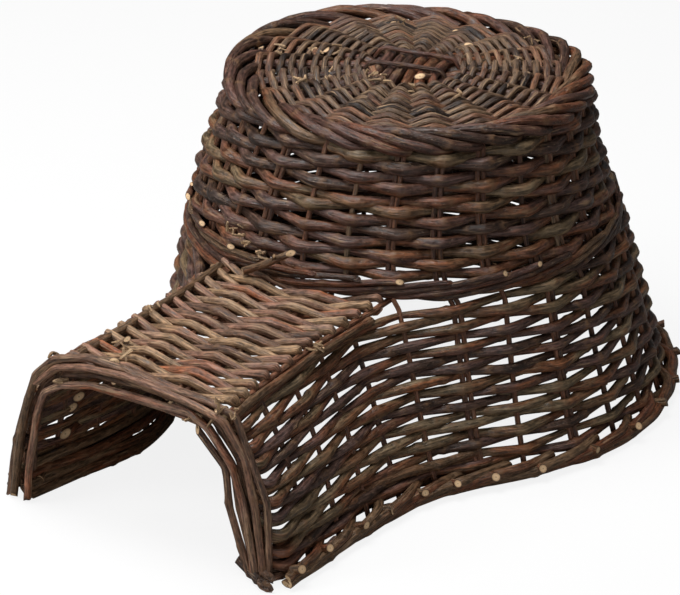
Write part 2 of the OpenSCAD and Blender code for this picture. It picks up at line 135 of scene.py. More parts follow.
class Web:
    """A node tree, with one way to add a node to it."""

    def __init__(self, tree: bpy.types.NodeTree) -> None:
        """Start with an empty tree."""
        self.tree = tree
        self.tree.nodes.clear()

    def node(self, kind: str, settings: dict[str, Any], inputs: dict[Any, Any], output: Any = 0) -> Wire:
        """Add one node.

        Args:
            kind: Blender's type name.
            settings: properties of the node, set first; stops are a ramp's positions and colours.
            inputs: a value or a Wire for each input that isn't left as it is.
            output: which output to hand back.

        Returns:
            The chosen output.
        """
        made = self.tree.nodes.new(kind)
        for name, value in settings.items():
            if name == "stops":
                self._set_stops(made.color_ramp, value)
            else:
                setattr(made, name, value)
        for key, value in inputs.items():
            if isinstance(value, Wire):
                self.tree.links.new(value.socket, made.inputs[key])
            else:
                made.inputs[key].default_value = value
        return Wire(self, made.outputs[output] if made.outputs else None)

    @staticmethod
    def _set_stops(ramp: bpy.types.ColorRamp, stops: Sequence[tuple[float, Colour]]) -> None:
        """Give a ramp its stops.

        Args:
            ramp: the ramp to set.
            stops: position and colour of each stop, in order.
        """
        while len(ramp.elements) < len(stops):
            ramp.elements.new(1.0)
        for element, (place, colour) in zip(ramp.elements, stops):
            element.position = place
            element.color = (*colour, 1.0)

    def mix(self, share: Any, first: Any, second: Any, way: str = "MIX") -> Wire:
        """Mix two colours.

        Args:
            share: how much of the second one.
            first: a colour or a Wire.
            second: a colour or a Wire.
            way: Blender's blend type.

        Returns:
            The mixed colour.
        """
        settings = {"data_type": "RGBA", "blend_type": way}
        return self.node("ShaderNodeMix", settings, {0: share, 6: paint(first), 7: paint(second)}, 2)

    def attribute(self, name: str, output: str = "Fac") -> Wire:
        """Return an attribute that the rods carry."""
        return self.node("ShaderNodeAttribute", {"attribute_name": name}, {}, output)


def paint(colour: Any) -> Any:
    """Return a colour with its alpha, or a Wire as it is."""
    return colour if isinstance(colour, Wire) else (*colour, 1.0)


def start_material(name: str) -> tuple[bpy.types.Material, Web]:
    """Return a new material and its empty node tree."""
    material = bpy.data.materials.new(name)
    material.use_nodes = True
    return material, Web(material.node_tree)


# Finishes


@dataclass(frozen=True)
class Bark:
    """Willow bark: a palette that changes from rod to rod and along each rod."""

    name: str
    palette: tuple[tuple[float, Colour], ...]
    rubbed: Colour
    rubbed_from: float = 0.60
    roughness: float = 0.40
    lenticel: Colour = (0.24, 0.155, 0.09)
    knot: Colour = (0.150, 0.080, 0.040)

    def grain(self, web: Web, across: float, lengthwise: float, detail: float = 3.0) -> Wire:
        """Return noise that is drawn out along the rod.

        Args:
            web: the material's nodes.
            across: how fine it is round the rod.
            lengthwise: how fine it is along the rod, for each metre.
            detail: octaves of the noise.

        Returns:
            The noise, from 0 to 1.
        """
        place = {"Vector": self.place(web, across, lengthwise), "Scale": 1.0, "Detail": detail}
        return web.node("ShaderNodeTexNoise", {}, place)

    def place(self, web: Web, across: float, lengthwise: float) -> Wire:
        """Return the place on the rod, stretched to suit a pattern.

        Args:
            web: the material's nodes.
            across: scale round the rod.
            lengthwise: scale along the rod, for each metre.

        Returns:
            A vector.
        """
        along = web.node("ShaderNodeCombineXYZ", {}, {2: web.attribute("along") * lengthwise})
        stretched = {0: web.attribute("ring", "Vector"), 1: (across, across, 0.0), 2: along}
        return web.node("ShaderNodeVectorMath", {"operation": "MULTIPLY_ADD"}, stretched)

    def material(self) -> bpy.types.Material:
        """Return the bark's material, made once."""
        if self.name in bpy.data.materials:
            return bpy.data.materials[self.name]
        material, web = start_material(self.name)
        slow = self.grain(web, 0.3, 13.0, 2.0)
        streak = self.grain(web, 2.3, 52.0, 5.0).rise(0.40, 0.62)
        mottle = self.grain(web, 1.5, 190.0, 4.0).rise(0.36, 0.66)
        knot = web.attribute("knot")
        tone = web.attribute("tone") * 0.80 + slow * 0.90 - 0.35
        colour = web.node("ShaderNodeValToRGB", {"stops": self.palette}, {0: tone})
        colour = web.mix(1.0, colour, 0.30 + streak * 0.78 + mottle * 0.52, "MULTIPLY")
        rubbed = self.grain(web, 1.3, 34.0, 5.0).rise(self.rubbed_from, self.rubbed_from + 0.07)
        colour = web.mix(rubbed * (0.25 + streak * 0.6), colour, self.rubbed)
        cells = {"Vector": self.place(web, 2.1, 210.0), "Scale": 1.0}
        speck = 1.0 - web.node("ShaderNodeTexVoronoi", {}, cells).rise(0.10, 0.24)
        colour = web.mix(speck * 0.5, colour, self.lenticel)
        colour = web.mix(knot * mottle, colour, self.knot)
        rough = self.roughness + (mottle - 0.5) * 0.2 + rubbed * 0.12
        height = streak * 0.6 + mottle * 0.45 + speck * 0.35
        bump = {"Strength": 0.8, "Distance": 0.0008, "Height": height}
        shader = web.node("ShaderNodeBsdfPrincipled", {}, {
            "Base Color": colour,
            "Roughness": rough,
            "Specular IOR Level": 0.36,
            "Normal": web.node("ShaderNodeBump", {}, bump),
        })
        web.node("ShaderNodeOutputMaterial", {}, {"Surface": shader})
        return material


@dataclass(frozen=True)
class CutWood:
    """The pale end of a rod that was cut across: pith, wood and a thin line of bark."""

    name: str = "cut_willow"
    rings: tuple[tuple[float, Colour], ...] = (
        (0.00, (0.30, 0.180, 0.095)),
        (0.10, (0.40, 0.250, 0.140)),
        (0.17, (0.74, 0.530, 0.320)),
        (0.55, (0.70, 0.475, 0.270)),
        (0.80, (0.52, 0.330, 0.180)),
        (0.90, (0.07, 0.042, 0.028)),
    )

    def material(self) -> bpy.types.Material:
        """Return the cut wood's material, made once."""
        if self.name in bpy.data.materials:
            return bpy.data.materials[self.name]
        material, web = start_material(self.name)
        ring = web.attribute("ring", "Vector")
        radius = web.node("ShaderNodeVectorMath", {"operation": "LENGTH"}, {0: ring}, "Value")
        colour = web.node("ShaderNodeValToRGB", {"stops": self.rings}, {0: radius})
        place = web.node("ShaderNodeTexCoord", {}, {}, "Object")
        fibre = web.node("ShaderNodeTexNoise", {}, {"Vector": place, "Scale": 900.0, "Detail": 3.0})
        patch = web.node("ShaderNodeTexNoise", {}, {"Vector": place, "Scale": 60.0, "Detail": 2.0})
        colour = web.mix(1.0, colour, 0.45 + fibre * 0.45 + patch * 0.6, "MULTIPLY")
        bump = web.node("ShaderNodeBump", {}, {"Strength": 0.4, "Distance": 0.0005, "Height": fibre})
        inputs = {"Base Color": colour, "Roughness": 0.72, "Normal": bump}
        shader = web.node("ShaderNodeBsdfPrincipled", {}, inputs)
        web.node("ShaderNodeOutputMaterial", {}, {"Surface": shader})
        return material


WALL_PALETTE = (
    (0.00, (0.030, 0.018, 0.014)),
    (0.18, (0.066, 0.035, 0.023)),
    (0.34, (0.100, 0.056, 0.047)),
    (0.48, (0.155, 0.058, 0.026)),
    (0.62, (0.135, 0.090, 0.048)),
    (0.78, (0.190, 0.135, 0.078)),
    (0.92, (0.195, 0.076, 0.032)),
)
ROOF_PALETTE = (
    (0.00, (0.074, 0.038, 0.026)),
    (0.18, (0.174, 0.096, 0.060)),
    (0.34, (0.256, 0.128, 0.083)),
    (0.50, (0.288, 0.174, 0.094)),
    (0.66, (0.334, 0.210, 0.117)),
    (0.80, (0.256, 0.147, 0.106)),
    (0.94, (0.292, 0.100, 0.042)),
)
LID_PALETTE = (
    (0.00, (0.018, 0.010, 0.007)),
    (0.22, (0.046, 0.025, 0.016)),
    (0.42, (0.096, 0.057, 0.035)),
    (0.60, (0.176, 0.108, 0.062)),
    (0.76, (0.090, 0.046, 0.032)),
    (0.92, (0.190, 0.088, 0.046)),
)
STAKE_PALETTE = (
    (0.00, (0.055, 0.028, 0.019)),
    (0.35, (0.120, 0.050, 0.029)),
    (0.70, (0.200, 0.085, 0.046)),
    (0.95, (0.185, 0.120, 0.072)),
)
BORDER_PALETTE = (
    (0.00, (0.030, 0.016, 0.011)),
    (0.20, (0.060, 0.029, 0.019)),
    (0.40, (0.088, 0.042, 0.032)),
    (0.58, (0.136, 0.046, 0.020)),
    (0.76, (0.112, 0.064, 0.034)),
    (0.94, (0.152, 0.090, 0.049)),
)
SPLIT_PALETTE = (
    (0.00, (0.20, 0.120, 0.064)),
    (0.40, (0.36, 0.225, 0.120)),
    (0.75, (0.50, 0.330, 0.185)),
    (0.95, (0.40, 0.270, 0.170)),
)
WALL_BARK = Bark("wall_bark", WALL_PALETTE, (0.25, 0.160, 0.092))
ROOF_BARK = Bark("roof_bark", ROOF_PALETTE, (0.37, 0.245, 0.150), 0.56, 0.46)
LID_BARK = Bark("lid_bark", LID_PALETTE, (0.36, 0.240, 0.140), 0.58, 0.46)
STAKE_BARK = Bark("stake_bark", STAKE_PALETTE, (0.25, 0.15, 0.085))
BORDER_BARK = Bark("border_bark", BORDER_PALETTE, (0.27, 0.175, 0.105), 0.60, 0.38)
SPLIT_WOOD = Bark("split_wood", SPLIT_PALETTE, (0.56, 0.39, 0.23), 0.5, 0.6)
CUT_WOOD = CutWood()


# Paths


def outward(angle: Any) -> Points:
    """Return unit vectors out of the body, the angle counted in degrees from the mouth towards +X."""
    turn = np.radians(np.asarray(angle, float))
    return np.stack([np.sin(turn), -np.cos(turn), np.zeros_like(turn)], -1)


def lerp(start: Any, end: Any, share: Any) -> Any:
    """Return the value a share of the way from start to end."""
    return start + (end - start) * share


def lift(point: Points, height: Any) -> Points:
    """Return a copy of a point at another height."""
    moved = np.array(point, float)
    moved[..., 2] = height
    return moved


def unit(vector: Points) -> Points:
    """Return a vector of length one."""
    return vector / np.linalg.norm(vector)


def even(path: Points, pitch: float) -> Points:
    """Space a path's points evenly.

    Args:
        path: points in order.
        pitch: distance that is wanted between two points.

    Returns:
        The new points, with both ends kept.
    """
    run = np.concatenate([[0.0], np.cumsum(np.linalg.norm(np.diff(path, axis=0), axis=1))])
    count = max(6, int(round(run[-1] / pitch)) + 1)
    wanted = np.linspace(0.0, run[-1], count)
    return np.stack([np.interp(wanted, run, path[:, axis]) for axis in range(3)], -1)


def soften(path: Points, reach: float, pitch: float) -> Points:
    """Round a path's corners as a springy rod does.

    Args:
        path: corner points in order.
        reach: length over which a corner is rounded.
        pitch: distance between the points that come back.

    Returns:
        Even points on the rounded path, with both ends kept.
    """
    step = min(1.5, reach / 3)
    fine = even(path, step)
    width = min(int(2.5 * reach / step), len(fine) - 1)
    weights = np.exp(-0.5 * (np.arange(-width, width + 1) * step / reach) ** 2)
    weights /= weights.sum()
    before = 2 * fine[0] - fine[width:0:-1]
    after = 2 * fine[-1] - fine[-2:-width - 2:-1]
    padded = np.concatenate([before, fine, after])
    rounded = [np.convolve(padded[:, axis], weights, "valid") for axis in range(3)]
    return even(np.stack(rounded, -1), pitch)


@dataclass(frozen=True)
class Plan:
    """Main sizes of the basket in millimetres, as in the solids, and how unevenly it stands."""

    rim_height: float = 288.0
    rim_radius: float = 150.0
    waist_height: float = 166.0
    waist_radius: float = 186.0
    foot_radius: float = 230.0
    tunnel_reach: float = 402.0
    mouth_half: float = 137.0
    throat_half: float = 135.0
    throat_left_half: float = 114.0
    roof_front_half: float = 94.0
    roof_half: float = 77.0
    roof_front_height: float = 138.0
    side_bow: float = 14.0
    foot_turn: float = 190.0
    head_turn: float = 110.0
    stake: float = 5.6
    border: float = 8.0
    gap: float = 0.3
    hoop: float = 6.4
    lid_rise: float = 10.0
    lid_edge_height: float = 280.0
    bulge: float = 8.0
    bulge_lift: float = 6.0
    bulge_turn: float = 266.0
    sway: float = 7.0
    sway_turn: float = 303.6
    sway_power: float = 0.7
    sway_room: float = 12.0
    stakes: int = 28
    first_skirt_stake: int = 4
    side_stations: int = 7

    @property
    def stake_step(self) -> float:
        """Angle from one body stake to the next."""
        return 360.0 / self.stakes

    @property
    def border_step(self) -> float:
        """Height from one border rod to the next."""
        return self.border + self.gap

    @property
    def waist_top(self) -> float:
        """Height of the waist border's top."""
        return self.waist_height + 1.5 * self.border_step

    @property
    def waist_bottom(self) -> float:
        """Height of the waist border's underside."""
        return self.waist_height - 1.5 * self.border_step

    @property
    def splice_turn(self) -> float:
        """Angle by which an upper stake and the skirt stake beside it stand apart, halved."""
        return math.degrees(math.asin((self.stake + self.gap) / 2 / self.waist_radius))

    @property
    def body_stations(self) -> int:
        """Number of skirt stakes on the body's circle."""
        return self.stakes - 2 * self.first_skirt_stake

    @property
    def station_count(self) -> int:
        """Number of uprights from one leg of the hoop round the back to the other."""
        return self.body_stations + 2 * self.side_stations

    @property
    def hoop_front(self) -> float:
        """Y of the middle of the hoop's rods."""
        return -(self.tunnel_reach - self.hoop / 2)

    @property
    def head_radius(self) -> float:
        """Radius of the stakes under the waist border."""
        return float(self.wall_radius(self.waist_bottom))

    def stake_angle(self, place: Any) -> Any:
        """Return the angle of a body stake."""
        return (np.asarray(place, float) + 0.5) * self.stake_step

    def upper_angle(self, place: int) -> float:
        """Return the angle of an upper stake, which stands beside the skirt's."""
        return float(self.stake_angle(place)) - self.splice_turn

    def wall_radius(self, height: Any) -> Any:
        """Return the radius of the wall's stakes at a height."""
        heights = [0.0, self.waist_height, self.rim_height]
        return np.interp(height, heights, [self.foot_radius, self.waist_radius, self.rim_radius])

    def lid_height(self, radius: Any) -> Any:
        """Return the height of the lid's weave at a radius."""
        return self.lid_edge_height + self.lid_rise * (1 - (radius / self.rim_radius) ** 2)

    def roof_height(self, y: Any) -> Any:
        """Return the height of the roof's stakes at a distance along the tunnel."""
        back = self.waist_bottom - self.stake / 2 - self.gap
        share = (y + self.tunnel_reach) / (self.tunnel_reach - self.waist_radius)
        return lerp(self.roof_front_height, back, share)

    def settle(self, line: Points) -> Points:
        """Return points moved as the basket isn't quite round.

        Args:
            line: points of a rod as if the basket were even.

        Returns:
            The points with the bulge and the rise of the top, and the sway of the wall under it.
        """
        share = np.clip((line[:, 2] - self.waist_height) / (self.rim_height - self.waist_height), 0, 1)
        reach = np.linalg.norm(line[:, :2], axis=1)
        facing = np.maximum(line @ outward(self.bulge_turn), 0) / np.maximum(reach, 1)
        amount = share * facing ** 2 * np.minimum(reach / self.rim_radius, 1)
        flat = lift(line, 0) / np.maximum(reach, 1)[:, None]
        low, high = self.waist_bottom - 4.0, self.rim_height - 14.0
        level = np.clip((line[:, 2] - low) / (high - low), 0, 1) ** self.sway_power
        swayed = self.sway * np.sin(level * math.pi)
        swayed *= reach < self.waist_radius + self.sway_room
        moved = line + flat * (self.bulge * amount)[:, None] + np.outer(self.bulge_lift * amount, [0, 0, 1])
        return moved + np.outer(swayed, outward(self.sway_turn))

    def wall_run(self, share: float, front: float, half: float, turn: float,
                 radius: float) -> tuple[Points, Points]:
        """Follow the +X wall from the mouth to the first skirt stake on the body's circle.

        Args:
            share: share of the way.
            front: half width at the mouth.
            half: half width where the turn starts.
            turn: radius of the turn into the body.
            radius: radius of the body at this height.

        Returns:
            The point and the direction out of the wall, both flat.
        """
        middle = np.array([half + turn, -math.sqrt((radius + turn) ** 2 - (half + turn) ** 2), 0.0])
        start = np.array([front, self.hoop_front, 0.0])
        bend = np.array([half, middle[1], 0.0])
        straight = float(np.linalg.norm(bend - start))
        sweep = math.pi - math.atan2(-middle[1], -middle[0])
        arc = turn * sweep
        joint = math.degrees(math.atan2(middle[0], -middle[1]))
        last = float(self.stake_angle(self.first_skirt_stake)) + self.splice_turn
        run = share * (straight + arc + radius * math.radians(last - joint))
        if run == 0:
            return start, np.array([1.0, 0.0, 0.0])
        if run <= straight:
            along = (bend - start) / straight
            return lerp(start, bend, run / straight), np.array([along[1], -along[0], 0.0])
        if run <= straight + arc:
            angle = math.pi - (run - straight) / turn
            way = np.array([math.cos(angle), math.sin(angle), 0.0])
            return middle + turn * way, -way
        way = outward(joint + math.degrees((run - straight - arc) / radius))
        return radius * way, way

    def side_station(self, place: float, throat: float) -> tuple[Points, Points, Points]:
        """Return foot, head and outward direction of an upright of a tunnel wall, as if on the +X side."""
        share = place / self.side_stations
        low = (self.mouth_half, throat, self.foot_turn, self.foot_radius)
        high = (self.roof_front_half, self.roof_half, self.head_turn, self.head_radius)
        (foot, foot_way), (head, head_way) = (self.wall_run(share, *sizes) for sizes in (low, high))
        under_roof = head[1] < -self.waist_radius
        top = self.roof_height(head[1]) - self.stake if under_roof else self.waist_bottom
        return foot, lift(head, top - self.gap), unit(foot_way + head_way)

    def station(self, place: int) -> tuple[Points, Points, Points]:
        """Return foot, head and outward direction of an upright, from the hoop's +X leg round the back."""
        if place < self.side_stations:
            return self.side_station(place, self.throat_half)
        if place < self.side_stations + self.body_stations:
            body_place = self.first_skirt_stake + place - self.side_stations
            way = outward(self.stake_angle(body_place) + self.splice_turn)
            return self.foot_radius * way, lift(self.head_radius * way, self.waist_bottom), way
        flip = np.array([-1.0, 1.0, 1.0])
        foot, head, way = self.side_station(self.station_count - 1 - place, self.throat_left_half)
        return foot * flip, head * flip, way * flip

    def is_body(self, place: int) -> bool:
        """Return whether an upright stands on the body's circle."""
        return self.side_stations <= place < self.side_stations + self.body_stations


PLAN = Plan()


# Rods


@dataclass
class Bundle:
    """Rods that are laid one by one and then made into one piece."""

    name: str
    bark: Bark
    nodes: Sequence[str]
    slot: Slot
    seed: int
    sides: int = 9
    pitch: float = 3.2
    tones: Pair = (0.0, 1.0)
    chains: list[dict[str, Points]] = field(default_factory=list)

    def __post_init__(self) -> None:
        """Start the bundle's own random numbers."""
        self.rng = np.random.default_rng(self.seed)

    def jitter(self, size: float, count: Any = None) -> Any:
        """Return random numbers within a size on both sides of zero."""
        return self.rng.uniform(-size, size, count)

    def lay(self, path: Iterable[Points], butt: float, tip: float, reach: float = 6.0, wobble: float = 0.5,
            tone: float | None = None, knots: float = 55.0, slope: float = 0.5, face: Any = None,
            pale: bool = True, swell: Sequence[float] | None = None) -> None:
        """Lay one rod.

        Args:
            path: corner points of its middle line, from its first end.
            butt: thickness at the first point.
            tip: thickness at the last point.
            reach: length over which the rod rounds a corner.
            wobble: how far it strays from its line at each knot.
            tone: place in the bark's palette, or None for a random one.
            knots: mean distance between its knots, or 0 for none.
            slope: how steeply its ends are cut, 0 for straight across.
            face: direction that the cuts look to, or None for a random one.
            pale: whether the cuts are fresh wood, and not weathered as dark as the bark.
            swell: factor of the thickness at each corner point, or None for an even rod.
        """
        corners = np.asarray(list(path), float)
        line = soften(corners, reach, self.pitch)
        count = len(line)
        run = np.arange(count) * np.linalg.norm(np.diff(line, axis=0), axis=1).mean()
        places = [0.0]
        while knots and places[-1] < run[-1]:
            places.append(places[-1] + knots * self.rng.uniform(*KNOT_SPREAD))
        places.append(max(places[-1], run[-1]) + 1.0)
        kinks = self.jitter(wobble * KINK_FACTOR, (len(places), 3))
        line += np.stack([np.interp(run, places, kinks[:, axis]) for axis in range(3)], -1)
        line = PLAN.settle(line)
        girth = lerp(butt, tip, run / run[-1]) / 2
        girth = girth * (1 + SWELL_SHARE * np.sin(run / SWELL_LENGTH + self.rng.uniform(*ANY_PHASE)))
        if swell is not None:
            marks = np.concatenate([[0.0], np.cumsum(np.linalg.norm(np.diff(corners, axis=0), axis=1))])
            girth = girth * np.interp(run / run[-1], marks / marks[-1], swell)
        knot = np.exp(-(((run[:, None] - places[1:-1]) / KNOT_LENGTH) ** 2)).max(1, initial=0.0)
        cut, way = self._cuts(line, slope, face)
        chosen = self.rng.uniform(*self.tones)
        self.chains.append({
            "core": line,
            "girth": girth,
            "along": run * METRES + self.rng.uniform(0, 40),
            "tone": np.full(count, chosen if tone is None else tone),
            "knot": knot,
            "cut": cut,
            "way": way,
            "turn": np.full(count, self.rng.uniform(*ANY_PHASE)),
            "pale": np.full(count, float(pale)),
        })

    def _cuts(self, line: Points, slope: float, face: Any) -> tuple[Points, Points]:
        """Work out how the last rings at a rod's ends slide back along it to make sloping cuts.

        Args:
            line: the rod's middle line.
            slope: how steep the cuts are.
            face: direction that they look to, or None for a random one.

        Returns:
            For every point of the line, the side that slides and the way in which it does.
        """
        cut, way = np.zeros_like(line), np.zeros_like(line)
        heading = np.gradient(line, axis=0)
        for end, back in ((0, 1), (-1, -1)):
            ahead = unit(heading[end])
            side = self.rng.normal(size=3) if face is None else np.asarray(face, float)
            side = unit(side - (side @ ahead) * ahead + 1e-6)
            for ring, share in enumerate(CUT_RINGS):
                cut[end + back * ring] = side * slope
                way[end + back * ring] = ahead * back * share
        return cut, way

    def build(self) -> bpy.types.Object:
        """Make the rods' tubes, hide the solids that they stand for, and dress them.

        Returns:
            The finished piece.
        """
        mesh = self._tubes()
        self._shape(mesh)
        mesh.set_sharp_from_angle(angle=math.radians(SHARP_ANGLE))
        piece = bpy.data.objects.new(self.name, mesh)
        bpy.context.scene.collection.objects.link(piece)
        self.dress(piece)
        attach(piece, "root")
        if self.nodes:
            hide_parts(*self.nodes)
        log.info("%s: %d rods, %d faces", self.name, len(self.chains), len(mesh.polygons))
        return piece

    def dress(self, piece: bpy.types.Object) -> None:
        """Give the piece its bark, and its cut ends their wood."""
        mesh = piece.data
        mesh.materials.clear()
        mesh.materials.append(self.bark.material())
        mesh.materials.append(CUT_WOOD.material())
        pale = mesh.attributes["pale"].data
        for polygon in mesh.polygons:
            if polygon.loop_total > 4 and pale[polygon.vertices[0]].value > 0.5:
                polygon.material_index = 1
        mesh.attributes.remove(mesh.attributes["pale"])
        mesh.update()

    def _tubes(self) -> bpy.types.Mesh:
        """Return one mesh with a capped tube along every rod."""
        starts = np.cumsum([0] + [len(chain["core"]) for chain in self.chains])
        values = {name: np.concatenate([chain[name] for chain in self.chains]) for name in self.chains[0]}
        values["core"] = (values["core"] + [0.0, AXIS_SHIFT, 0.0]) * METRES
        values["girth"] = values["girth"] * METRES
        edges = [(i, i + 1) for a, b in zip(starts[:-1], starts[1:]) for i in range(a, b - 1)]
        paths = bpy.data.meshes.new(self.name + "_paths")
        paths.from_pydata(values["core"].tolist(), edges, [])
        for name, value in values.items():
            wide = value.ndim == 2
            made = paths.attributes.new(name, "FLOAT_VECTOR" if wide else "FLOAT", "POINT")
            made.data.foreach_set("vector" if wide else "value", value.ravel().astype(np.float32))
        holder = bpy.data.objects.new(paths.name, paths)
        bpy.context.scene.collection.objects.link(holder)
        holder.modifiers.new("tubes", "NODES").node_group = tube_nodes(self.sides)
        graph = bpy.context.evaluated_depsgraph_get()
        mesh = bpy.data.meshes.new_from_object(holder.evaluated_get(graph))
        bpy.data.objects.remove(holder)
        bpy.data.meshes.remove(paths)
        mesh.name = self.name
        return mesh

    @staticmethod
    def _shape(mesh: bpy.types.Mesh) -> None:
        """Make round tubes a little oval, swell them at each knot and slope their cut ends."""
        def read(name: str, width: int) -> Points:
            """Return an attribute as an array."""
            values = np.zeros(len(mesh.vertices) * width, np.float32)
            mesh.attributes[name].data.foreach_get("vector" if width == 3 else "value", values)
            return values.reshape(-1, width) if width > 1 else values

        core, ring, spot = read("core", 3), read("ring", 3), read("position", 3)
        angle = np.arctan2(ring[:, 1], ring[:, 0]) + read("turn", 1)
        along = read("along", 1) / METRES
        swell = 1 + 0.05 * np.cos(2 * angle + along / 60) + 0.02 * np.cos(3 * angle - along / 17)
        swell = swell + read("knot", 1) * (0.07 + 0.20 * np.maximum(0, np.cos(angle + along / 23)))
        radial = (spot - core) * swell[:, None]
        slide = (radial * read("cut", 3)).sum(1)
        spot = core + radial + slide[:, None] * read("way", 3)
        spot[:, 2] = np.maximum(spot[:, 2], 0.0)
        mesh.vertices.foreach_set("co", spot.ravel())
        for name in ("core", "girth", "cut", "way", "turn"):
            mesh.attributes.remove(mesh.attributes[name])
        mesh.update()


def tube_nodes(sides: int) -> bpy.types.NodeTree:
    """Return geometry nodes that turn chains of points into capped tubes.

    Args:
        sides: corners of a tube's section.

    Returns:
        The node group, made once for each number of sides.
    """
    name = f"tubes_{sides}"
    if name in bpy.data.node_groups:
        return bpy.data.node_groups[name]
    tree = bpy.data.node_groups.new(name, "GeometryNodeTree")
    tree.interface.new_socket("Geometry", in_out="INPUT", socket_type="NodeSocketGeometry")
    tree.interface.new_socket("Geometry", in_out="OUTPUT", socket_type="NodeSocketGeometry")
    web = Web(tree)
    curve = web.node("GeometryNodeMeshToCurve", {}, {"Mesh": web.node("NodeGroupInput", {}, {})})
    circle = web.node("GeometryNodeCurvePrimitiveCircle", {}, {"Resolution": sides, "Radius": 1.0})
    place = web.node("GeometryNodeInputPosition", {}, {})
    kept = {"Geometry": circle, "Name": "ring", "Value": place}
    circle = web.node("GeometryNodeStoreNamedAttribute", {"data_type": "FLOAT_VECTOR"}, kept)
    girth = web.node("GeometryNodeInputNamedAttribute", {"data_type": "FLOAT"}, {"Name": "girth"})
    parts = {"Curve": curve, "Profile Curve": circle, "Scale": girth, "Fill Caps": True}
    tube = web.node("GeometryNodeCurveToMesh", {}, parts)
    tube = web.node("GeometryNodeSetShadeSmooth", {}, {"Geometry": tube, "Shade Smooth": True})
    web.node("NodeGroupOutput", {}, {0: tube})
    return tree


def weave_row(bundle: Bundle, points: list[Points], inside: int, bays: tuple[int, int],
              thick: Pair, reach: float) -> None:
    """Weave one row from rods of random length, which meet behind the stakes.

    Args:
        bundle: where the rods are laid.
        points: the row's point at each stake, in order.
        inside: 0 if the even points lie inside the wall, 1 if the odd ones do.
        bays: fewest and most bays in one rod.
        thick: least and greatest thickness of the rods.
        reach: length over which a rod rounds a corner.
    """
    start = 0
    last = len(points) - 1
    while start < last:
        end = start + int(bundle.rng.integers(*bays))
        end += (end + inside) % 2
        end = last if last - end < 3 else end
        path = [np.array(point) for point in points[start:end + 1]]
        butt, tip = bundle.rng.uniform(*thick, 2)
        rise = 0.2 * thick[0]
        path[0] = lerp(path[0], path[1], -0.25) + [0, 0, rise]
        path[-1] = lerp(path[-1], path[-2], -0.25) - [0, 0, rise]
        swells = (INSIDE_SWELL, OUTSIDE_SWELL)
        swell = [swells[(place + inside) % 2] for place in range(start, end + 1)]
        bundle.lay(path, butt, tip, reach=reach, wobble=0.7, pale=False, swell=swell)
        start = end


# Lid


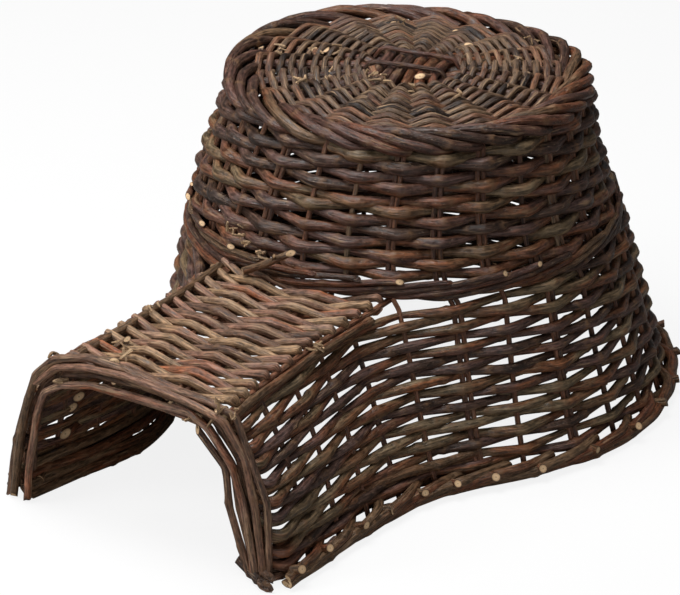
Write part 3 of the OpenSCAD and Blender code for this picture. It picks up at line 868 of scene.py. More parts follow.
@dataclass
class Lid:
    """Crossed sticks that fan out into spokes, and rods paired round them."""

    plan: Plan
    spokes: int = 20
    rows: int = 10
    long_sticks: int = 6
    cross_sticks: int = 4
    stick: float = 9.6
    weaver: float = 6.3
    turn: float = 15.0
    first_row: float = 46.0
    last_row: float = 131.0

    def build(self) -> list[bpy.types.Object]:
        """Return the lid's pieces."""
        return [self._sticks(0), self._sticks(90), self._binding(), self._weave(), self._stubs()]

    def _sticks(self, quarter: int) -> bpy.types.Object:
        """Return the sticks that lie one way.

        Args:
            quarter: 0 for the long sticks on top, 90 for the cross sticks under them.

        Returns:
            The piece.
        """
        on_top = quarter == 0
        counts = (self.long_sticks, self.cross_sticks)
        count, crossed = counts if on_top else counts[::-1]
        name = "lid_long_sticks" if on_top else "lid_cross_sticks"
        bundle = Bundle(name, BORDER_BARK, [name], Slot.RED, 11 + quarter, sides=12, tones=(0.0, 0.7))
        pitch = self.stick + self.plan.gap
        start = self.first_row - self.weaver
        edge = self.plan.rim_radius - self.stick
        middle = self.plan.lid_height(0) + (pitch / 2 if on_top else -pitch / 2) - 1.0
        for place in range(count):
            across = (place - (count - 1) / 2) * pitch
            spread = (place - (count - 1) / 2) * 360.0 / self.spokes
            near = outward(self.turn + quarter + spread)
            far = outward(self.turn + quarter + 180.0 - spread)
            along = outward(self.turn + quarter)
            side = outward(self.turn + quarter + 90.0) * across
            half = pitch * crossed / 2
            bundle.lay([
                lift(near * edge, self.plan.lid_height(edge)),
                lift(near * start, self.plan.lid_height(start)),
                lift(along * half + side, middle + bundle.jitter(0.6)),
                lift(side - along * half, middle + bundle.jitter(0.6)),
                lift(far * start, self.plan.lid_height(start)),
                lift(far * edge, self.plan.lid_height(edge)),
            ], self.stick, self.stick * 0.9, reach=7.0, wobble=0.5)
        return bundle.build()

    def _binding(self) -> bpy.types.Object:
        """Return the two thin rods that hold the sticks down."""
        bundle = Bundle("lid_binding", BORDER_BARK, ["lid_binding"], Slot.SPLIT, 21, tones=(0.2, 0.6))
        pitch = self.stick + self.plan.gap
        over = self.plan.lid_height(0) + pitch / 2 + self.stick / 2 + 0.4
        half = (self.long_sticks / 2 + 0.3) * pitch
        for side in (-1, 1):
            across = outward(self.turn + 90.0)
            along = outward(self.turn) * side * (self.cross_sticks / 2 * pitch - 3.0)
            bundle.lay([
                lift(along - across * (half + 5), over - 9.0),
                lift(along - across * half, over),
                lift(along, over + 0.8),
                lift(along + across * half, over),
                lift(along + across * (half + 5), over - 9.0),
            ], 4.4, 3.6, reach=3.0, wobble=0.6)
        return bundle.build()

    def _weave(self) -> bpy.types.Object:
        """Return the rods that go round the spokes in pairs, one over and one under."""
        names = [f"lid_weaver_{row + 1}" for row in range(self.rows)]
        bundle = Bundle("lid_weave", LID_BARK, names, Slot.GREY, 31, sides=10, pitch=2.6)
        step = 360.0 / self.spokes
        for row in range(self.rows):
            share = row / (self.rows - 1)
            radius = lerp(self.first_row, self.last_row, share)
            thick = self.weaver * lerp(0.82, 1.03, share)
            swing = (self.stick + thick) / 2 * 0.90
            for strand in (0, 1):
                first = 3 * row + 7 * strand
                path = []
                for place in range(first, first + self.spokes + 1):
                    over = 1 if (place + strand) % 2 == 0 else -1
                    spot = radius + bundle.jitter(0.9)
                    height = self.plan.lid_height(spot) + over * swing + bundle.jitter(0.6)
                    path.append(lift(outward(self.turn + (place + 0.5) * step) * spot, height))
                    spot = radius + over * 0.30 * thick
                    way = outward(self.turn + (place + 1.0) * step)
                    path.append(lift(way * spot, self.plan.lid_height(spot)))
                half = len(path) // 2 + int(bundle.rng.integers(-6, 7))
                for rod in (path[:half + 2], path[half:]):
                    bundle.lay(rod, thick * 1.06, thick * 0.88, reach=2.4, wobble=0.5, knots=45.0, pale=False)
        return bundle.build()

    def _stubs(self) -> bpy.types.Object:
        """Return the short cut ends that stand up from the weave."""
        bundle = Bundle("lid_stubs", LID_BARK, [], Slot.GREY, 41, tones=(0.4, 1.0))
        seen = ((-86, -19), (-81, -11), (-76, 1), (-72, 93), (-65, -77), (-24, -27), (24, -24), (-136, -30))
        unseen = [outward(bundle.rng.uniform(20, 200))[:2] * bundle.rng.uniform(55, 120) for _ in range(5)]
        for x, y in (*seen, *unseen):
            radius = math.hypot(x, y)
            angle = math.degrees(math.atan2(x, -y))
            over = 8.0 if radius < self.first_row else 5.0
            end = np.array([x, y, self.plan.lid_height(radius) + over])
            way = outward(angle + bundle.rng.choice([-1, 1]) * bundle.rng.uniform(60, 110))
            start = end - way * bundle.rng.uniform(14, 20) - [0, 0, bundle.rng.uniform(5, 8)]
            thick = bundle.rng.uniform(4.6, 7.0)
            bundle.lay([start, end], thick, thick, wobble=0.2, slope=1.4, face=(0.35, -0.55, 0.75),
                       pale=bundle.rng.uniform() < 0.8)
        return bundle.build()


# Upper wall


@dataclass
class UpperWall:
    """The rolled rim, the stakes and the tight rows between rim and waist."""

    plan: Plan
    rows: int = 12
    first_row: float = 174.0
    last_row: float = 270.0
    solid_rows: int = 9
    stake: float = 4.8
    swing: float = 4.9
    thick: Pair = (8.8, 10.2)
    # Chance of each stake of a group, and its turn from the group's place
    twins: tuple[Pair, ...] = ((1.0, 0.0), (0.30, -1.7), (0.06, 1.7))
    # Corners of a border rod: stakes passed, way out from the wall and rise
    rim_course: tuple[Triple, ...] = (
        (-0.40, -19.0, -7.0), (0.30, -11.0, 0.0), (1.00, -1.0, 2.5), (1.70, 6.0, -1.5),
        (2.40, 7.5, -7.0), (2.80, 5.0, -10.5), (3.10, -3.0, -12.0),
    )
    waist_course: tuple[Triple, ...] = (
        (0.0, -4.0, -8.0), (0.9, 5.0, -9.0), (1.9, 7.0, -4.0), (2.9, 7.0, 1.5), (3.8, 6.5, 5.5),
    )

    def build(self) -> list[bpy.types.Object]:
        """Return the upper wall's pieces."""
        return [self._rim(), self._stakes(), self._weave(), self._waist()]

    def _rim(self) -> bpy.types.Object:
        """Return the rods that start on the lid, roll over the rim and end three rods down outside."""
        plan = self.plan
        bundle = Bundle("rim_border", BORDER_BARK, ["rim_border"], Slot.DARK, 51, sides=11, tones=(0.0, 0.85))
        step = plan.stake_step
        for stake in range(plan.stakes):
            angle = plan.upper_angle(stake) + bundle.jitter(1.2)
            drift = bundle.jitter(1.2)
            path = []
            for turn, out, rise in self.rim_course:
                height = plan.rim_height + rise + bundle.jitter(0.8)
                radius = plan.wall_radius(height) + out + drift + bundle.jitter(0.7)
                path.append(lift(radius * outward(angle + turn * step), height))
            butt, tip = 9.4 + bundle.jitter(0.6), 8.6 + bundle.jitter(0.5)
            bundle.lay(path, butt, tip, reach=7.0, wobble=0.7, pale=False)
        return bundle.build()

    def _stakes(self) -> bpy.types.Object:
        """Return the upright stakes, many of them doubled."""
        plan = self.plan
        bundle = Bundle("upper_stakes", STAKE_BARK, ["upper_stakes"], Slot.RED, 61)
        top = plan.rim_height - plan.border
        heights = np.linspace(plan.waist_bottom + 6, top, 5)
        lean = (plan.waist_radius - plan.rim_radius) / (plan.rim_height - plan.waist_height)
        radii = plan.waist_radius - lean * (heights - plan.waist_height)
        for stake in range(plan.stakes):
            for chance, turn in self.twins:
                if bundle.rng.uniform() > chance:
                    continue
                angle = plan.upper_angle(stake) + turn
                path = [lift(r * outward(angle + bundle.jitter(0.3)), z) for r, z in zip(radii, heights)]
                bundle.lay(path, self.stake, self.stake * 0.9, reach=14.0, wobble=0.5)
        return bundle.build()

    def _weave(self) -> bpy.types.Object:
        """Return the rods woven round the wall."""
        plan = self.plan
        names = [f"upper_weaver_{row + 1}" for row in range(self.solid_rows)]
        bundle = Bundle("upper_weave", WALL_BARK, names, Slot.DARK, 71, sides=10, tones=(0.0, 0.85))
        for row in range(self.rows):
            height = lerp(self.first_row, self.last_row, row / (self.rows - 1))
            phase = bundle.rng.uniform(*ANY_PHASE)
            points = []
            first = 5 * row + (5 * row + row + 1) % 2
            for place in range(first, first + plan.stakes):
                over = 1 if (place + row) % 2 == 0 else -1
                angle = plan.upper_angle(place)
                level = height + math.sin(math.radians(angle) * 2 + phase) + bundle.jitter(0.7)
                radius = plan.wall_radius(level) + over * (self.swing + bundle.jitter(0.6))
                points.append(lift(radius * outward(angle), level))
            weave_row(bundle, points + points[:1], 0, (4, 9), self.thick, 4.0)
        return bundle.build()

    def _waist(self) -> bpy.types.Object:
        """Return the waist border's rods, which climb outside and are cut off."""
        plan = self.plan
        bundle = Bundle("waist_border", BORDER_BARK, ["waist_border"], Slot.DARK, 81, sides=10)
        for stake in range(plan.stakes):
            angle = float(plan.stake_angle(stake)) + bundle.jitter(1.5)
            path = []
            for turn, out, rise in self.waist_course:
                height = plan.waist_height + rise + bundle.jitter(0.9)
                radius = plan.waist_radius + out + bundle.jitter(0.8)
                path.append(lift(radius * outward(angle + turn * plan.stake_step), height))
            tail = 4.1 + bundle.jitter(0.2)
            way = outward(angle + tail * plan.stake_step)
            path.append(lift((plan.waist_radius + 8.5) * way, plan.waist_height + 7.0 + bundle.jitter(1.5)))
            bundle.lay(path, 6.6, 5.2 + bundle.jitter(0.6), reach=8.0, wobble=0.6, slope=1.1,
                       face=way + [0, 0, 0.5], pale=bundle.rng.uniform() < 0.45)
        return bundle.build()


# Skirt and tunnel walls


@dataclass
class Skirt:
    """Stakes, open weave and foot border of the skirt and the tunnel's sides."""

    plan: Plan
    rows: int = 17
    bottom: float = 12.0
    front_top: float = 130.0
    stake: float = 4.8
    swing: float = 4.3
    tunnel_swing: float = 2.6
    solid_rows: int = 16
    thick: Pair = (7.4, 8.9)
    twin_chance: float = 0.12
    twin_gap: float = 5.0
    flare_height: float = 80.0
    # How far the foot flares and the wall leans out, at some of the uprights
    flare: tuple[tuple[int, float], ...] = (
        (0, 2), (2, 6), (4, 10), (6, 10), (8, 7), (10, 4), (12, 2), (14, 0),
    )
    lean: tuple[tuple[int, float], ...] = ((21, 0), (24, 6), (26, 6), (28, 4), (30, 0))
    # Corners of a foot rod, and rods inside the tunnel's walls: way out and height
    foot_level: float = 4.0
    foot_course: tuple[Pair, ...] = ((9.0, 4.8), (11.0, 6.5), (11.5, 10.5), (9.5, 15.0))
    inner_course: tuple[Pair, ...] = ((-18.0, 5.0), (-15.5, 12.0), (-12.0, 19.0), (-8.0, 26.0))

    def __post_init__(self) -> None:
        """Work out every upright's foot, head and outward direction."""
        self.stations = [self.plan.station(place) for place in range(self.plan.station_count)]
        self.last = self.plan.station_count - 1

    def build(self) -> list[bpy.types.Object]:
        """Return the skirt's pieces."""
        plan = self.plan
        last_body = plan.side_stations + plan.body_stations
        return [
            self._stakes("skirt_stakes", range(plan.side_stations, last_body), 91),
            self._stakes("tunnel_stakes_right", range(1, plan.side_stations), 92),
            self._stakes("tunnel_stakes_left", range(last_body, self.last), 93),
            self._weave(),
            self._foot(),
        ]

    def level(self, place: int, height: float) -> float:
        """Return a row's height at an upright: the rows crowd together towards the low mouth."""
        plan = self.plan
        share = min(place, self.last - place, plan.side_stations) / plan.side_stations
        top = lerp(self.front_top, plan.waist_bottom, share)
        return self.bottom + (height - self.bottom) * (top - self.bottom) / (plan.waist_bottom - self.bottom)

    def on_stake(self, place: int, height: float, swing: float) -> Points:
        """Return a point at a height of an upright, which bows near the mouth, swung out of the wall."""
        foot, head, way = self.stations[place]
        share = height / head[2]
        near_mouth = max(0.0, 1 - min(place, self.last - place) / self.plan.side_stations)
        bow = 4 * self.plan.side_bow * near_mouth * share * (1 - share)
        flare = np.interp(place, *zip(*self.flare)) * max(0.0, 1 - height / self.flare_height) ** 2
        lean = np.interp(place, *zip(*self.lean)) * share
        return lerp(foot, head, share) + (bow + flare + lean + swing) * way

    def along(self, place: int) -> Points:
        """Return the direction along the wall, from the +X leg round the back."""
        return np.cross([0.0, 0.0, 1.0], self.stations[place][2])

    def _stakes(self, name: str, places: Iterable[int], seed: int) -> bpy.types.Object:
        """Return a group of upright stakes, some of them doubled.

        Args:
            name: the piece's name and the node's.
            places: uprights in the group.
            seed: start of the random numbers.

        Returns:
            The piece.
        """
        plan = self.plan
        bundle = Bundle(name, STAKE_BARK, [name], Slot.RED, seed, tones=(0.0, 0.8))
        for place in places:
            top = plan.waist_top if plan.is_body(place) else self.stations[place][1][2] + 3.0
            heights = np.linspace(self.stake / 2, top, 6)
            for twin in range(2):
                if twin and bundle.rng.uniform() > self.twin_chance:
                    continue
                shift = self.along(place) * twin * self.twin_gap
                path = [lift(self.on_stake(place, z, bundle.jitter(0.5)) + shift, z) for z in heights]
                bundle.lay(path, self.stake * 1.06, self.stake * 0.92, reach=14.0, wobble=0.5)
        return bundle.build()

    def _weave(self) -> bpy.types.Object:
        """Return the rods woven from one leg of the mouth round the back to the other."""
        plan = self.plan
        names = [f"skirt_weaver_{row + 1}" for row in range(self.solid_rows)]
        bundle = Bundle("skirt_weave", WALL_BARK, names, Slot.OLIVE, 101)
        pitch = (plan.waist_bottom - self.bottom) / self.rows
        for row in range(self.rows):
            phase = bundle.rng.uniform(*ANY_PHASE)
            height = self.bottom + (row + 0.5) * pitch
            points = []
            for place in range(self.last + 1):
                over = 1 if (place + row) % 2 == 0 else -1
                swing = self.swing if plan.is_body(place) else self.tunnel_swing
                level = self.level(place, height) + math.sin(place * 0.45 + phase) + bundle.jitter(0.7)
                points.append(self.on_stake(place, level, over * (swing + bundle.jitter(0.6))))
            self._finish_ends(points)
            weave_row(bundle, points, row % 2, (6, 13), self.thick, 4.5)
        return bundle.build()

    def _finish_ends(self, points: list[Points]) -> None:
        """Tuck a row's ends in behind the hoop's legs, changing its points in place."""
        ends = []
        for place, back in ((0, 1), (self.last, -1)):
            away = back * self.along(place)
            tail = points[place] + away * 4.0 - self.stations[place][2] * 9.0
            ends.append((points[place] + away * 7.0, tail))
        points[:1] = ends[0][::-1]
        points[-1:] = ends[1]

    def _foot(self) -> bpy.types.Object:
        """Return the foot border's rods, which start from a cut and climb outside, and the rods inside."""
        bundle = Bundle("foot_border", BORDER_BARK, ["foot_border"], Slot.DARK, 111, sides=11,
                        tones=(0.62, 1.0))
        for first in range(1 - len(self.foot_course), self.last):
            path = []
            if 0 <= first < self.last - len(self.foot_course):
                shift = self.along(first) * bundle.rng.uniform(6, 14)
                for out, height in ((16.6, 14.5 + bundle.jitter(2.5)), (4.0, 12.0), (-6.0, 6.0)):
                    path.append(lift(self.on_stake(first, self.foot_level, out) + shift, height))
            for level, (out, height) in enumerate(self.foot_course):
                place = first + 1 + level
                if 0 <= place <= self.last:
                    height = max(height + bundle.jitter(0.8), 4.7)
                    out = out if place < self.last - 1 else 0.3 * out
                    spot = self.on_stake(place, self.foot_level, out + bundle.jitter(0.8))
                    path.append(lift(spot, height))
            end = min(first + len(self.foot_course), self.last)
            if end < self.last:
                path.append(path[-1] + self.along(end) * 28.0 - self.stations[end][2] * 16.0 - [0, 0, 3.0])
            butt, tip = 7.6 + bundle.jitter(0.6), 8.6 + bundle.jitter(0.6)
            pale = bundle.rng.uniform() < 0.8
            bundle.lay(path, butt, tip, reach=8.0, wobble=0.7, slope=0.35, pale=pale)
        sides = self.plan.side_stations
        for places in (range(sides), range(self.last, self.last - sides, -1)):
            for out, height in self.inner_course:
                spots = [self.on_stake(place, self.foot_level, out + bundle.jitter(1.0)) for place in places]
                bundle.lay(lift(spots, height), 9.0, 8.0, reach=14.0, wobble=1.8, pale=False)
        return bundle.build()


# Tunnel roof and mouth


@dataclass
class Tunnel:
    """The woven roof, its edge rods and the hoop of the mouth."""

    plan: Plan
    skirt: Skirt
    rows: int = 28
    swing: float = 6.2
    back_room: float = 7.0
    # Roof stakes as shares of the half width, and the roof's edges as y and x
    lines: tuple[tuple[float, ...], ...] = ((-1.0,), (-0.38, -0.30), (0.30, 0.38), (1.0,))
    left_edge: tuple[Pair, ...] = ((-399, -77), (-300, -71), (-180, -71))
    right_edge: tuple[Pair, ...] = ((-399, 88), (-364, 83), (-264, 79), (-180, 88))
    # Corners of the hoop's band as x and z, from the left foot to the right
    hoop_outside: tuple[Pair, ...] = (
        (-140, 0), (-134, 36), (-127, 67), (-117, 98), (-104, 124), (-84, 145), (-50, 152.5),
        (-10, 152.5), (36, 150), (72, 147.5), (97, 141), (114, 115), (130, 75), (132, 0),
    )
    hoop_inside: tuple[Pair, ...] = (
        (-119, 0), (-116.5, 32), (-111, 60), (-103, 88), (-93, 110), (-72, 119.5), (-45, 126),
        (-10, 127.5), (24, 126.5), (48, 126), (64, 122), (90, 92), (94, 62), (113, 0),
    )
    # Lanes, first and last corner, depth and tone of each hoop rod, and where two of them start
    hoop_rods: tuple[tuple[Triple, int, int, float, float], ...] = (
        ((0.00, 0.00, 0.00), 0, 13, -1.5, 0.05),
        ((0.32, 0.22, 0.20), 13, 4, -5.0, 0.27),
        ((0.40, 0.42, 0.32), 0, 9, 4.0, 0.30),
        ((0.70, 0.56, 0.38), 0, 13, 2.0, 0.00),
        ((0.90, 0.90, 0.54), 13, 9, 4.5, 0.06),
        ((1.00, 0.78, 0.60), 0, 13, -5.0, 0.90),
        ((0.90, 1.00, 0.80), 13, 6, 0.5, 0.16),
        ((0.99, 0.99, 0.98), 13, 10, -4.0, 0.02),
        ((0.75, 0.70, 0.78), 13, 8, 9.0, 0.08),
        ((0.20, 0.16, 0.30), 13, 6, 8.5, 0.03),
        ((0.60, 0.40, 0.40), 0, 6, 8.5, 0.06),
    )
    hoop_tail: tuple[Triple, ...] = ((147, -330, 12), (148, -362, 6))
    # Rods along the walls' tops, on the roof and round the throat: way out and rise
    edge_course: tuple[Pair, ...] = ((4.5, -7.5), (7.0, -1.5))
    roof_rod: Pair = (-5.0, 6.5)
    throat_course: tuple[Pair, ...] = ((0.0, 0.0), (6.0, -5.0))
    throat_turns: tuple[float, ...] = (343.0, 332.0, 318.0, 304.0, 292.0)

    def build(self) -> list[bpy.types.Object]:
        """Return the tunnel's pieces."""
        return [
            self._stakes(),
            self._weave(),
            self._edge("roof_edge_right", 1),
            self._edge("roof_edge_left", -1),
            self._hoop(),
            self._lashings(),
        ]

    @property
    def hoop_back(self) -> float:
        """Y of the hoop's rear face."""
        return self.plan.hoop_front + self.plan.hoop / 2

    def roof_x(self, share: float, y: float) -> float:
        """Return x on the roof, a share of its half width from its middle line."""
        left, right = (np.interp(y, *zip(*edge)) for edge in (self.left_edge, self.right_edge))
        return float(lerp(left, right, (share + 1) / 2))

    def _stakes(self) -> bpy.types.Object:
        """Return the lengthwise roof stakes."""
        plan = self.plan
        bundle = Bundle("roof_stakes", STAKE_BARK, ["roof_stakes"], Slot.RED, 121)
        for share in (share for line in self.lines for share in line):
            near = self.roof_x(share, -plan.waist_radius)
            back = -math.sqrt(plan.head_radius ** 2 - near ** 2) + 7.0
            line = np.linspace(self.hoop_back - 2.0, back, 6)
            path = [[self.roof_x(share, y) + bundle.jitter(0.8), y, plan.roof_height(y)] for y in line]
            bundle.lay(path, plan.stake, plan.stake * 0.95, reach=14.0, wobble=0.4)
        return bundle.build()

    def _weave(self) -> bpy.types.Object:
        """Return the rods woven across the roof, straight at the mouth and bent round the waist."""
        plan = self.plan
        bundle = Bundle("roof_weave", ROOF_BARK, ["roof_weavers"], Slot.GREY, 131, sides=10, pitch=2.6)
        front = self.hoop_back + 5.5
        back_radius = plan.waist_radius + self.back_room
        for row in range(self.rows):
            drift = bundle.rng.uniform(*ANY_PHASE)

            def spot(share: float, swing: float, past: float = 0.0) -> Points:
                """Return a point of this row, a share of the half width from the middle."""
                x = self.roof_x(share, lerp(front, -back_radius, row / (self.rows - 1))) + past
                y = lerp(front, -math.sqrt(back_radius ** 2 - x * x), row / (self.rows - 1))
                y += 1.2 * math.sin(x / 30 + drift) + bundle.jitter(0.5)
                return np.array([x, y, plan.roof_height(y) + swing + bundle.jitter(0.5)])

            first = 1 if row % 2 == 0 else -1
            path = [spot(-1, first * 2.0, -bundle.rng.uniform(0, 3))]
            swell = [0.7]
            for place, line in enumerate(self.lines):
                over = first if place % 2 == 0 else -first
                path.extend(spot(share, self.swing if over > 0 else -0.8 * self.swing) for share in line)
                swell.extend([1.1 if over > 0 else 0.85] * len(line))
            path.append(spot(1, -first * 2.0, bundle.rng.uniform(1, 4)))
            butt, tip = bundle.rng.uniform(6.6, 7.8, 2)
            swell.append(0.7)
            bundle.lay(path, butt, tip, reach=1.1, wobble=0.6, knots=48.0, slope=1.1, face=(0.3, -0.4, 0.8),
                       pale=bundle.rng.uniform() < 0.12, swell=swell)
        return bundle.build()

    def _edge(self, name: str, side: int) -> bpy.types.Object:
        """Return the rods along the top of a side wall.

        The far wall also has one on the roof's edge, and two that go round its throat under the waist.

        Args:
            name: the piece's name and the node's.
            side: 1 for the +X wall, -1 for the other.

        Returns:
            The piece.
        """
        plan = self.plan
        bundle = Bundle(name, BORDER_BARK, [name], Slot.DARK, 141 + side, sides=10, tones=(0.2, 0.9))
        line = np.linspace(self.hoop_back - 5.0, -plan.waist_radius - 12.0, 6)
        far_wall = side < 0
        for out, rise in (*self.edge_course, self.roof_rod) if far_wall else self.edge_course:
            path = []
            for y in line:
                x = self.roof_x(side, y) + side * out
                path.append(np.array([x, y, plan.roof_height(y) + rise]) + bundle.jitter(0.9, 3))
            tone = 0.95 if rise > 0 else None
            bundle.lay(path, 7.4 + bundle.jitter(0.4), 6.4, reach=12.0, wobble=1.0, tone=tone, pale=False)
        for out, rise in self.throat_course if far_wall else ():
            ways = outward(self.throat_turns)
            path = lift((plan.waist_radius + 11.0 + out) * ways, plan.waist_bottom + 1.0 + rise)
            bundle.lay(path, 7.4, 6.4, reach=12.0, wobble=1.0, pale=False)
        return bundle.build()

    def hoop_path(self, bundle: Bundle, lanes: Triple, first: int, last: int,
                  depth: float) -> list[Points]:
        """Return the corner points of a hoop rod, which may change its lane on the way.

        Args:
            bundle: whose random numbers are used.
            lanes: place across the band on the left leg, the top and the right leg, 0 outside and 1 inside.
            first: corner at which it starts, counted from the left foot.
            last: corner at which it ends.
            depth: distance behind the middle of the hoop.

        Returns:
            Points in the mouth's plane.
        """
        step = 1 if last > first else -1
        path = []
        for corner in range(first, last + step, step):
            lane = np.interp(corner, [2, 7, 11], lanes) + bundle.jitter(0.05)
            x, z = lerp(np.array(self.hoop_outside[corner]), np.array(self.hoop_inside[corner]), lane)
            path.append(np.array([x, self.plan.hoop_front + depth, max(z, 3.0)]))
        return path

    def _hoop(self) -> bpy.types.Object:
        """Return the rods bent into the mouth's hoop, which lap over one another along its top."""
        bundle = Bundle("mouth_hoop", ROOF_BARK, ["mouth_hoop"], Slot.GREY, 151, sides=12)
        right_foot = len(self.hoop_outside) - 1
        for lanes, first, last, depth, tone in self.hoop_rods:
            path = self.hoop_path(bundle, lanes, first, last, depth)
            for point in path[1:-1]:
                point += bundle.jitter(1.2, 3)
            if first == right_foot and depth < 0:
                path[:0] = [np.array(spot, float) for spot in self.hoop_tail]
            bundle.lay(path, 6.6 + bundle.jitter(0.4), 6.4 + bundle.jitter(0.5), reach=2.6, wobble=0.8,
                       tone=tone, slope=1.4, pale=last not in (0, right_foot))
        return bundle.build()

    def _lashings(self) -> bpy.types.Object:
        """Return the split rods wound roughly round the hoop at its corners."""
        plan = self.plan
        names = ["hoop_lashings"]
        bundle = Bundle("hoop_lashings", SPLIT_WOOD, names, Slot.SPLIT, 161, pitch=1.8, tones=(0.0, 0.4))
        for x, z, lean, turns in ((82.0, 134.0, 0.55, 0.55), (-80.0, 133.0, -0.6, 0.35)):
            path = []
            for angle in np.linspace(0, turns * 2 * math.pi, 14):
                across = 13.0 * math.sin(angle) + bundle.jitter(1.5)
                along = angle * 0.9 + bundle.jitter(1.0)
                depth = 7.5 * math.cos(angle) + bundle.jitter(1.0)
                path.append([x + lean * across - along, plan.hoop_front + depth, z + across])
            bundle.lay(path, 4.4, 2.8, reach=2.6, wobble=0.6, knots=30)
        return bundle.build()


# Loose ends


@dataclass
class LooseEnds:
    """Twigs that stand off the weave, and frayed bark."""

    plan: Plan
    # Corners, thickness at both ends and tone of each twig
    twigs: tuple[tuple[tuple[Triple, ...], float, float, float], ...] = (
        (((-36, -206, 162), (-8, -209, 178), (14, -205, 192)), 7.2, 6.0, 0.85),
        (((-2, -208, 182), (2, -213, 189)), 4.0, 2.6, 0.85),
        (((-134, -404, 2), (-125, -405, 50), (-116, -405, 88), (-105, -404, 122), (-82, -402, 142),
          (-58, -400, 152), (-26, -396, 155)), 7.0, 6.0, 0.86),
        (((-120, -330, 44), (-119, -351, 42)), 7.0, 7.4, 0.5),
        (((-116, -325, 69), (-115, -346, 67)), 7.0, 7.4, 0.5),
        (((-110, -321, 79), (-110, -342, 77)), 7.0, 7.4, 0.5),
        (((-58, -358, 143), (-49, -350, 151)), 5.0, 5.0, 0.9),
        (((95, -393, 9), (116, -403, 7.5), (137, -412, 6)), 8.4, 8.8, 0.05),
        (((100, -390, 16), (118, -399, 12), (134, -405, 10)), 7.0, 7.4, 0.15),
    )
    # Place of each tuft and its number of fibres, and places on the lid
    tufts: tuple[tuple[float, float, float, int], ...] = (
        (-74, -404, 126, 7), (-50, -352, 147, 5), (-34, -369, 150, 4), (-67, -292, 153, 4),
        (-39, -194, 187, 5), (-52, -186, 192, 4), (-20, -196, 183, 3), (88, -269, 150, 8),
        (60, -404, 131, 5), (88, -404, 150, 4), (102, -404, 148, 4), (-30, -371, 152, 4),
    )
    lid_tufts: tuple[Pair, ...] = (
        (-112, -36), (-86, -19), (-69, -7), (-57, -85), (-47, -61), (-15, -40), (0, -48), (-70, 85),
        (35, -47), (73, -39), (71, 70), (45, 124),
    )

    def build(self) -> list[bpy.types.Object]:
        """Return the loose pieces."""
        return [self._twigs(), self._frays()]

    def _twigs(self) -> bpy.types.Object:
        """Return the loose twigs and cut pieces."""
        bundle = Bundle("loose_twigs", BORDER_BARK, [], Slot.OLIVE, 171)
        for path, butt, tip, tone in self.twigs:
            bundle.lay(path, butt, tip, reach=8.0, wobble=0.4, tone=tone, slope=1.3, face=(0.4, -0.8, 0.4),
                       pale=tone > 0.4)
        return bundle.build()

    def _frays(self) -> bpy.types.Object:
        """Return tufts of frayed bark and split wood."""
        bundle = Bundle("frayed_bark", SPLIT_WOOD, [], Slot.SPLIT, 181, sides=6, pitch=2.4)
        on_lid = [(x, y, self.plan.lid_height(math.hypot(x, y)) + 8.0, 4) for x, y in self.lid_tufts]
        for x, y, z, count in (*self.tufts, *on_lid):
            for _ in range(count):
                start = np.array([x, y, z]) + bundle.jitter(4.0, 3)
                way = bundle.rng.normal(size=3) * [1.0, 0.6, 0.45]
                end = start + unit(way) * bundle.rng.uniform(4, 11) + [0, -1.5, -0.5]
                middle = (start + end) / 2 + bundle.jitter(0.8, 3)
                thick = bundle.rng.uniform(1.8, 3.6)
                bundle.lay([start, middle, end], thick, thick * 0.6, reach=2.5, wobble=0.3, knots=0)
        return bundle.build()


# Stage


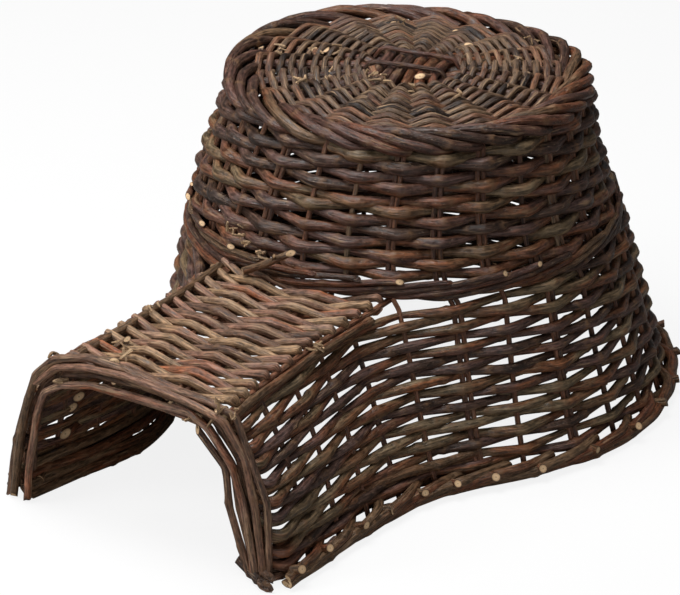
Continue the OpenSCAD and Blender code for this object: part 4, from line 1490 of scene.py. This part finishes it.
@dataclass
class Studio:
    """Pale floor, soft light and the camera at the photograph's angle."""

    turn: float = 33.55
    tilt: float = 23.80
    distance: float = 3000.0
    focal: float = 3318.0
    aim_x: float = 409.86
    aim_y: float = 235.43
    aim_height: float = 130.0
    floor_size: float = 14.0
    floor_lit: Colour = (0.29, 0.275, 0.26)
    floor_seen: Colour = (0.82, 0.82, 0.82)
    floor_white: float = 0.86
    world_light: float = 0.12
    lamp_aim: Triple = (0.0, 0.0, 0.12)
    # Name, place, width and power of each lamp
    lamps: tuple[tuple[str, Triple, float, float], ...] = (
        ("top_softbox", (-0.35, -0.25, 1.9), 1.1, 40.0),
        ("key_softbox", (-1.4, -1.8, 1.5), 0.8, 26.0),
        ("side_softbox", (1.6, -1.7, 0.6), 1.2, 8.0),
    )

    def build(self) -> None:
        """Make the floor, the lights, the world and the camera."""
        self._floor()
        self._world()
        self._lights()
        self._camera()
        bpy.context.scene.view_settings.view_transform = "Standard"

    def _floor(self) -> None:
        """Make the floor, which the camera sees as near white with a soft shadow."""
        shape = bmesh.new()
        bmesh.ops.create_grid(shape, x_segments=1, y_segments=1, size=self.floor_size)
        mesh = bpy.data.meshes.new("floor")
        shape.to_mesh(mesh)
        shape.free()
        floor = bpy.data.objects.new("floor", mesh)
        bpy.context.scene.collection.objects.link(floor)
        material, web = start_material("pale_floor")
        seen = web.node("ShaderNodeLightPath", {}, {}, "Is Camera Ray")
        colour = web.mix(seen, self.floor_lit, self.floor_seen)
        lit = web.node("ShaderNodeBsdfDiffuse", {}, {"Color": colour})
        white = web.node("ShaderNodeEmission", {}, {"Color": (1.0, 1.0, 1.0, 1.0), "Strength": 1.0})
        mixed = web.node("ShaderNodeMixShader", {}, {0: self.floor_white * seen, 1: lit, 2: white})
        web.node("ShaderNodeOutputMaterial", {}, {"Surface": mixed})
        mesh.materials.append(material)

    def _world(self) -> None:
        """Make the world: white to the camera, a soft grey light to the basket."""
        world = bpy.data.worlds.new("studio")
        world.use_nodes = True
        web = Web(world.node_tree)
        soft, white = (
            web.node("ShaderNodeBackground", {}, {"Color": (1.0, 1.0, 1.0, 1.0), "Strength": strength})
            for strength in (self.world_light, 1.0)
        )
        seen = web.node("ShaderNodeLightPath", {}, {}, "Is Camera Ray")
        mixed = web.node("ShaderNodeMixShader", {}, {0: seen, 1: soft, 2: white})
        web.node("ShaderNodeOutputWorld", {}, {"Surface": mixed})
        bpy.context.scene.world = world

    def _lights(self) -> None:
        """Hang the soft lamps."""
        for name, place, size, power in self.lamps:
            light = bpy.data.lights.new(name, "AREA")
            light.shape = "SQUARE"
            light.size = size
            light.energy = power
            lamp = bpy.data.objects.new(name, light)
            lamp.location = place
            lamp.rotation_mode = "QUATERNION"
            lamp.rotation_quaternion = (Vector(self.lamp_aim) - Vector(place)).to_track_quat("-Z", "Y")
            bpy.context.scene.collection.objects.link(lamp)

    def _camera(self) -> None:
        """Set the camera at the photograph's angle and frame."""
        turn, tilt = math.radians(self.turn), math.radians(self.tilt)
        back = Vector((math.sin(turn) * math.cos(tilt), -math.cos(turn) * math.cos(tilt), math.sin(tilt)))
        right = Vector((math.cos(turn), math.sin(turn), 0.0))
        up = back.cross(right)
        data = bpy.data.cameras.new("camera")
        data.sensor_width = 36.0
        data.lens = self.focal * data.sensor_width / IMAGE_WIDTH
        camera = bpy.data.objects.new("camera", data)
        target = Vector((0.0, AXIS_SHIFT, self.aim_height))
        camera.location = (target + back * self.distance) * METRES
        sideways = (IMAGE_WIDTH / 2 - self.aim_x) / self.focal
        upwards = (self.aim_y - IMAGE_HEIGHT / 2) / self.focal
        camera.rotation_mode = "QUATERNION"
        camera.rotation_quaternion = (right * sideways + up * upwards - back).to_track_quat("-Z", "Y")
        bpy.context.scene.collection.objects.link(camera)
        bpy.context.scene.camera = camera


def main() -> None:
    """Build the basket's sub-assemblies in order and log how many pieces each one has."""
    logging.basicConfig(level=logging.INFO, format="%(name)s: %(message)s")
    Studio().build()
    skirt = Skirt(PLAN)
    for assembly in (Lid(PLAN), UpperWall(PLAN), skirt, Tunnel(PLAN, skirt), LooseEnds(PLAN)):
        pieces = assembly.build()
        log.info("%s: %d pieces", type(assembly).__name__, len(pieces))


if __name__ == "__main__":
    main()
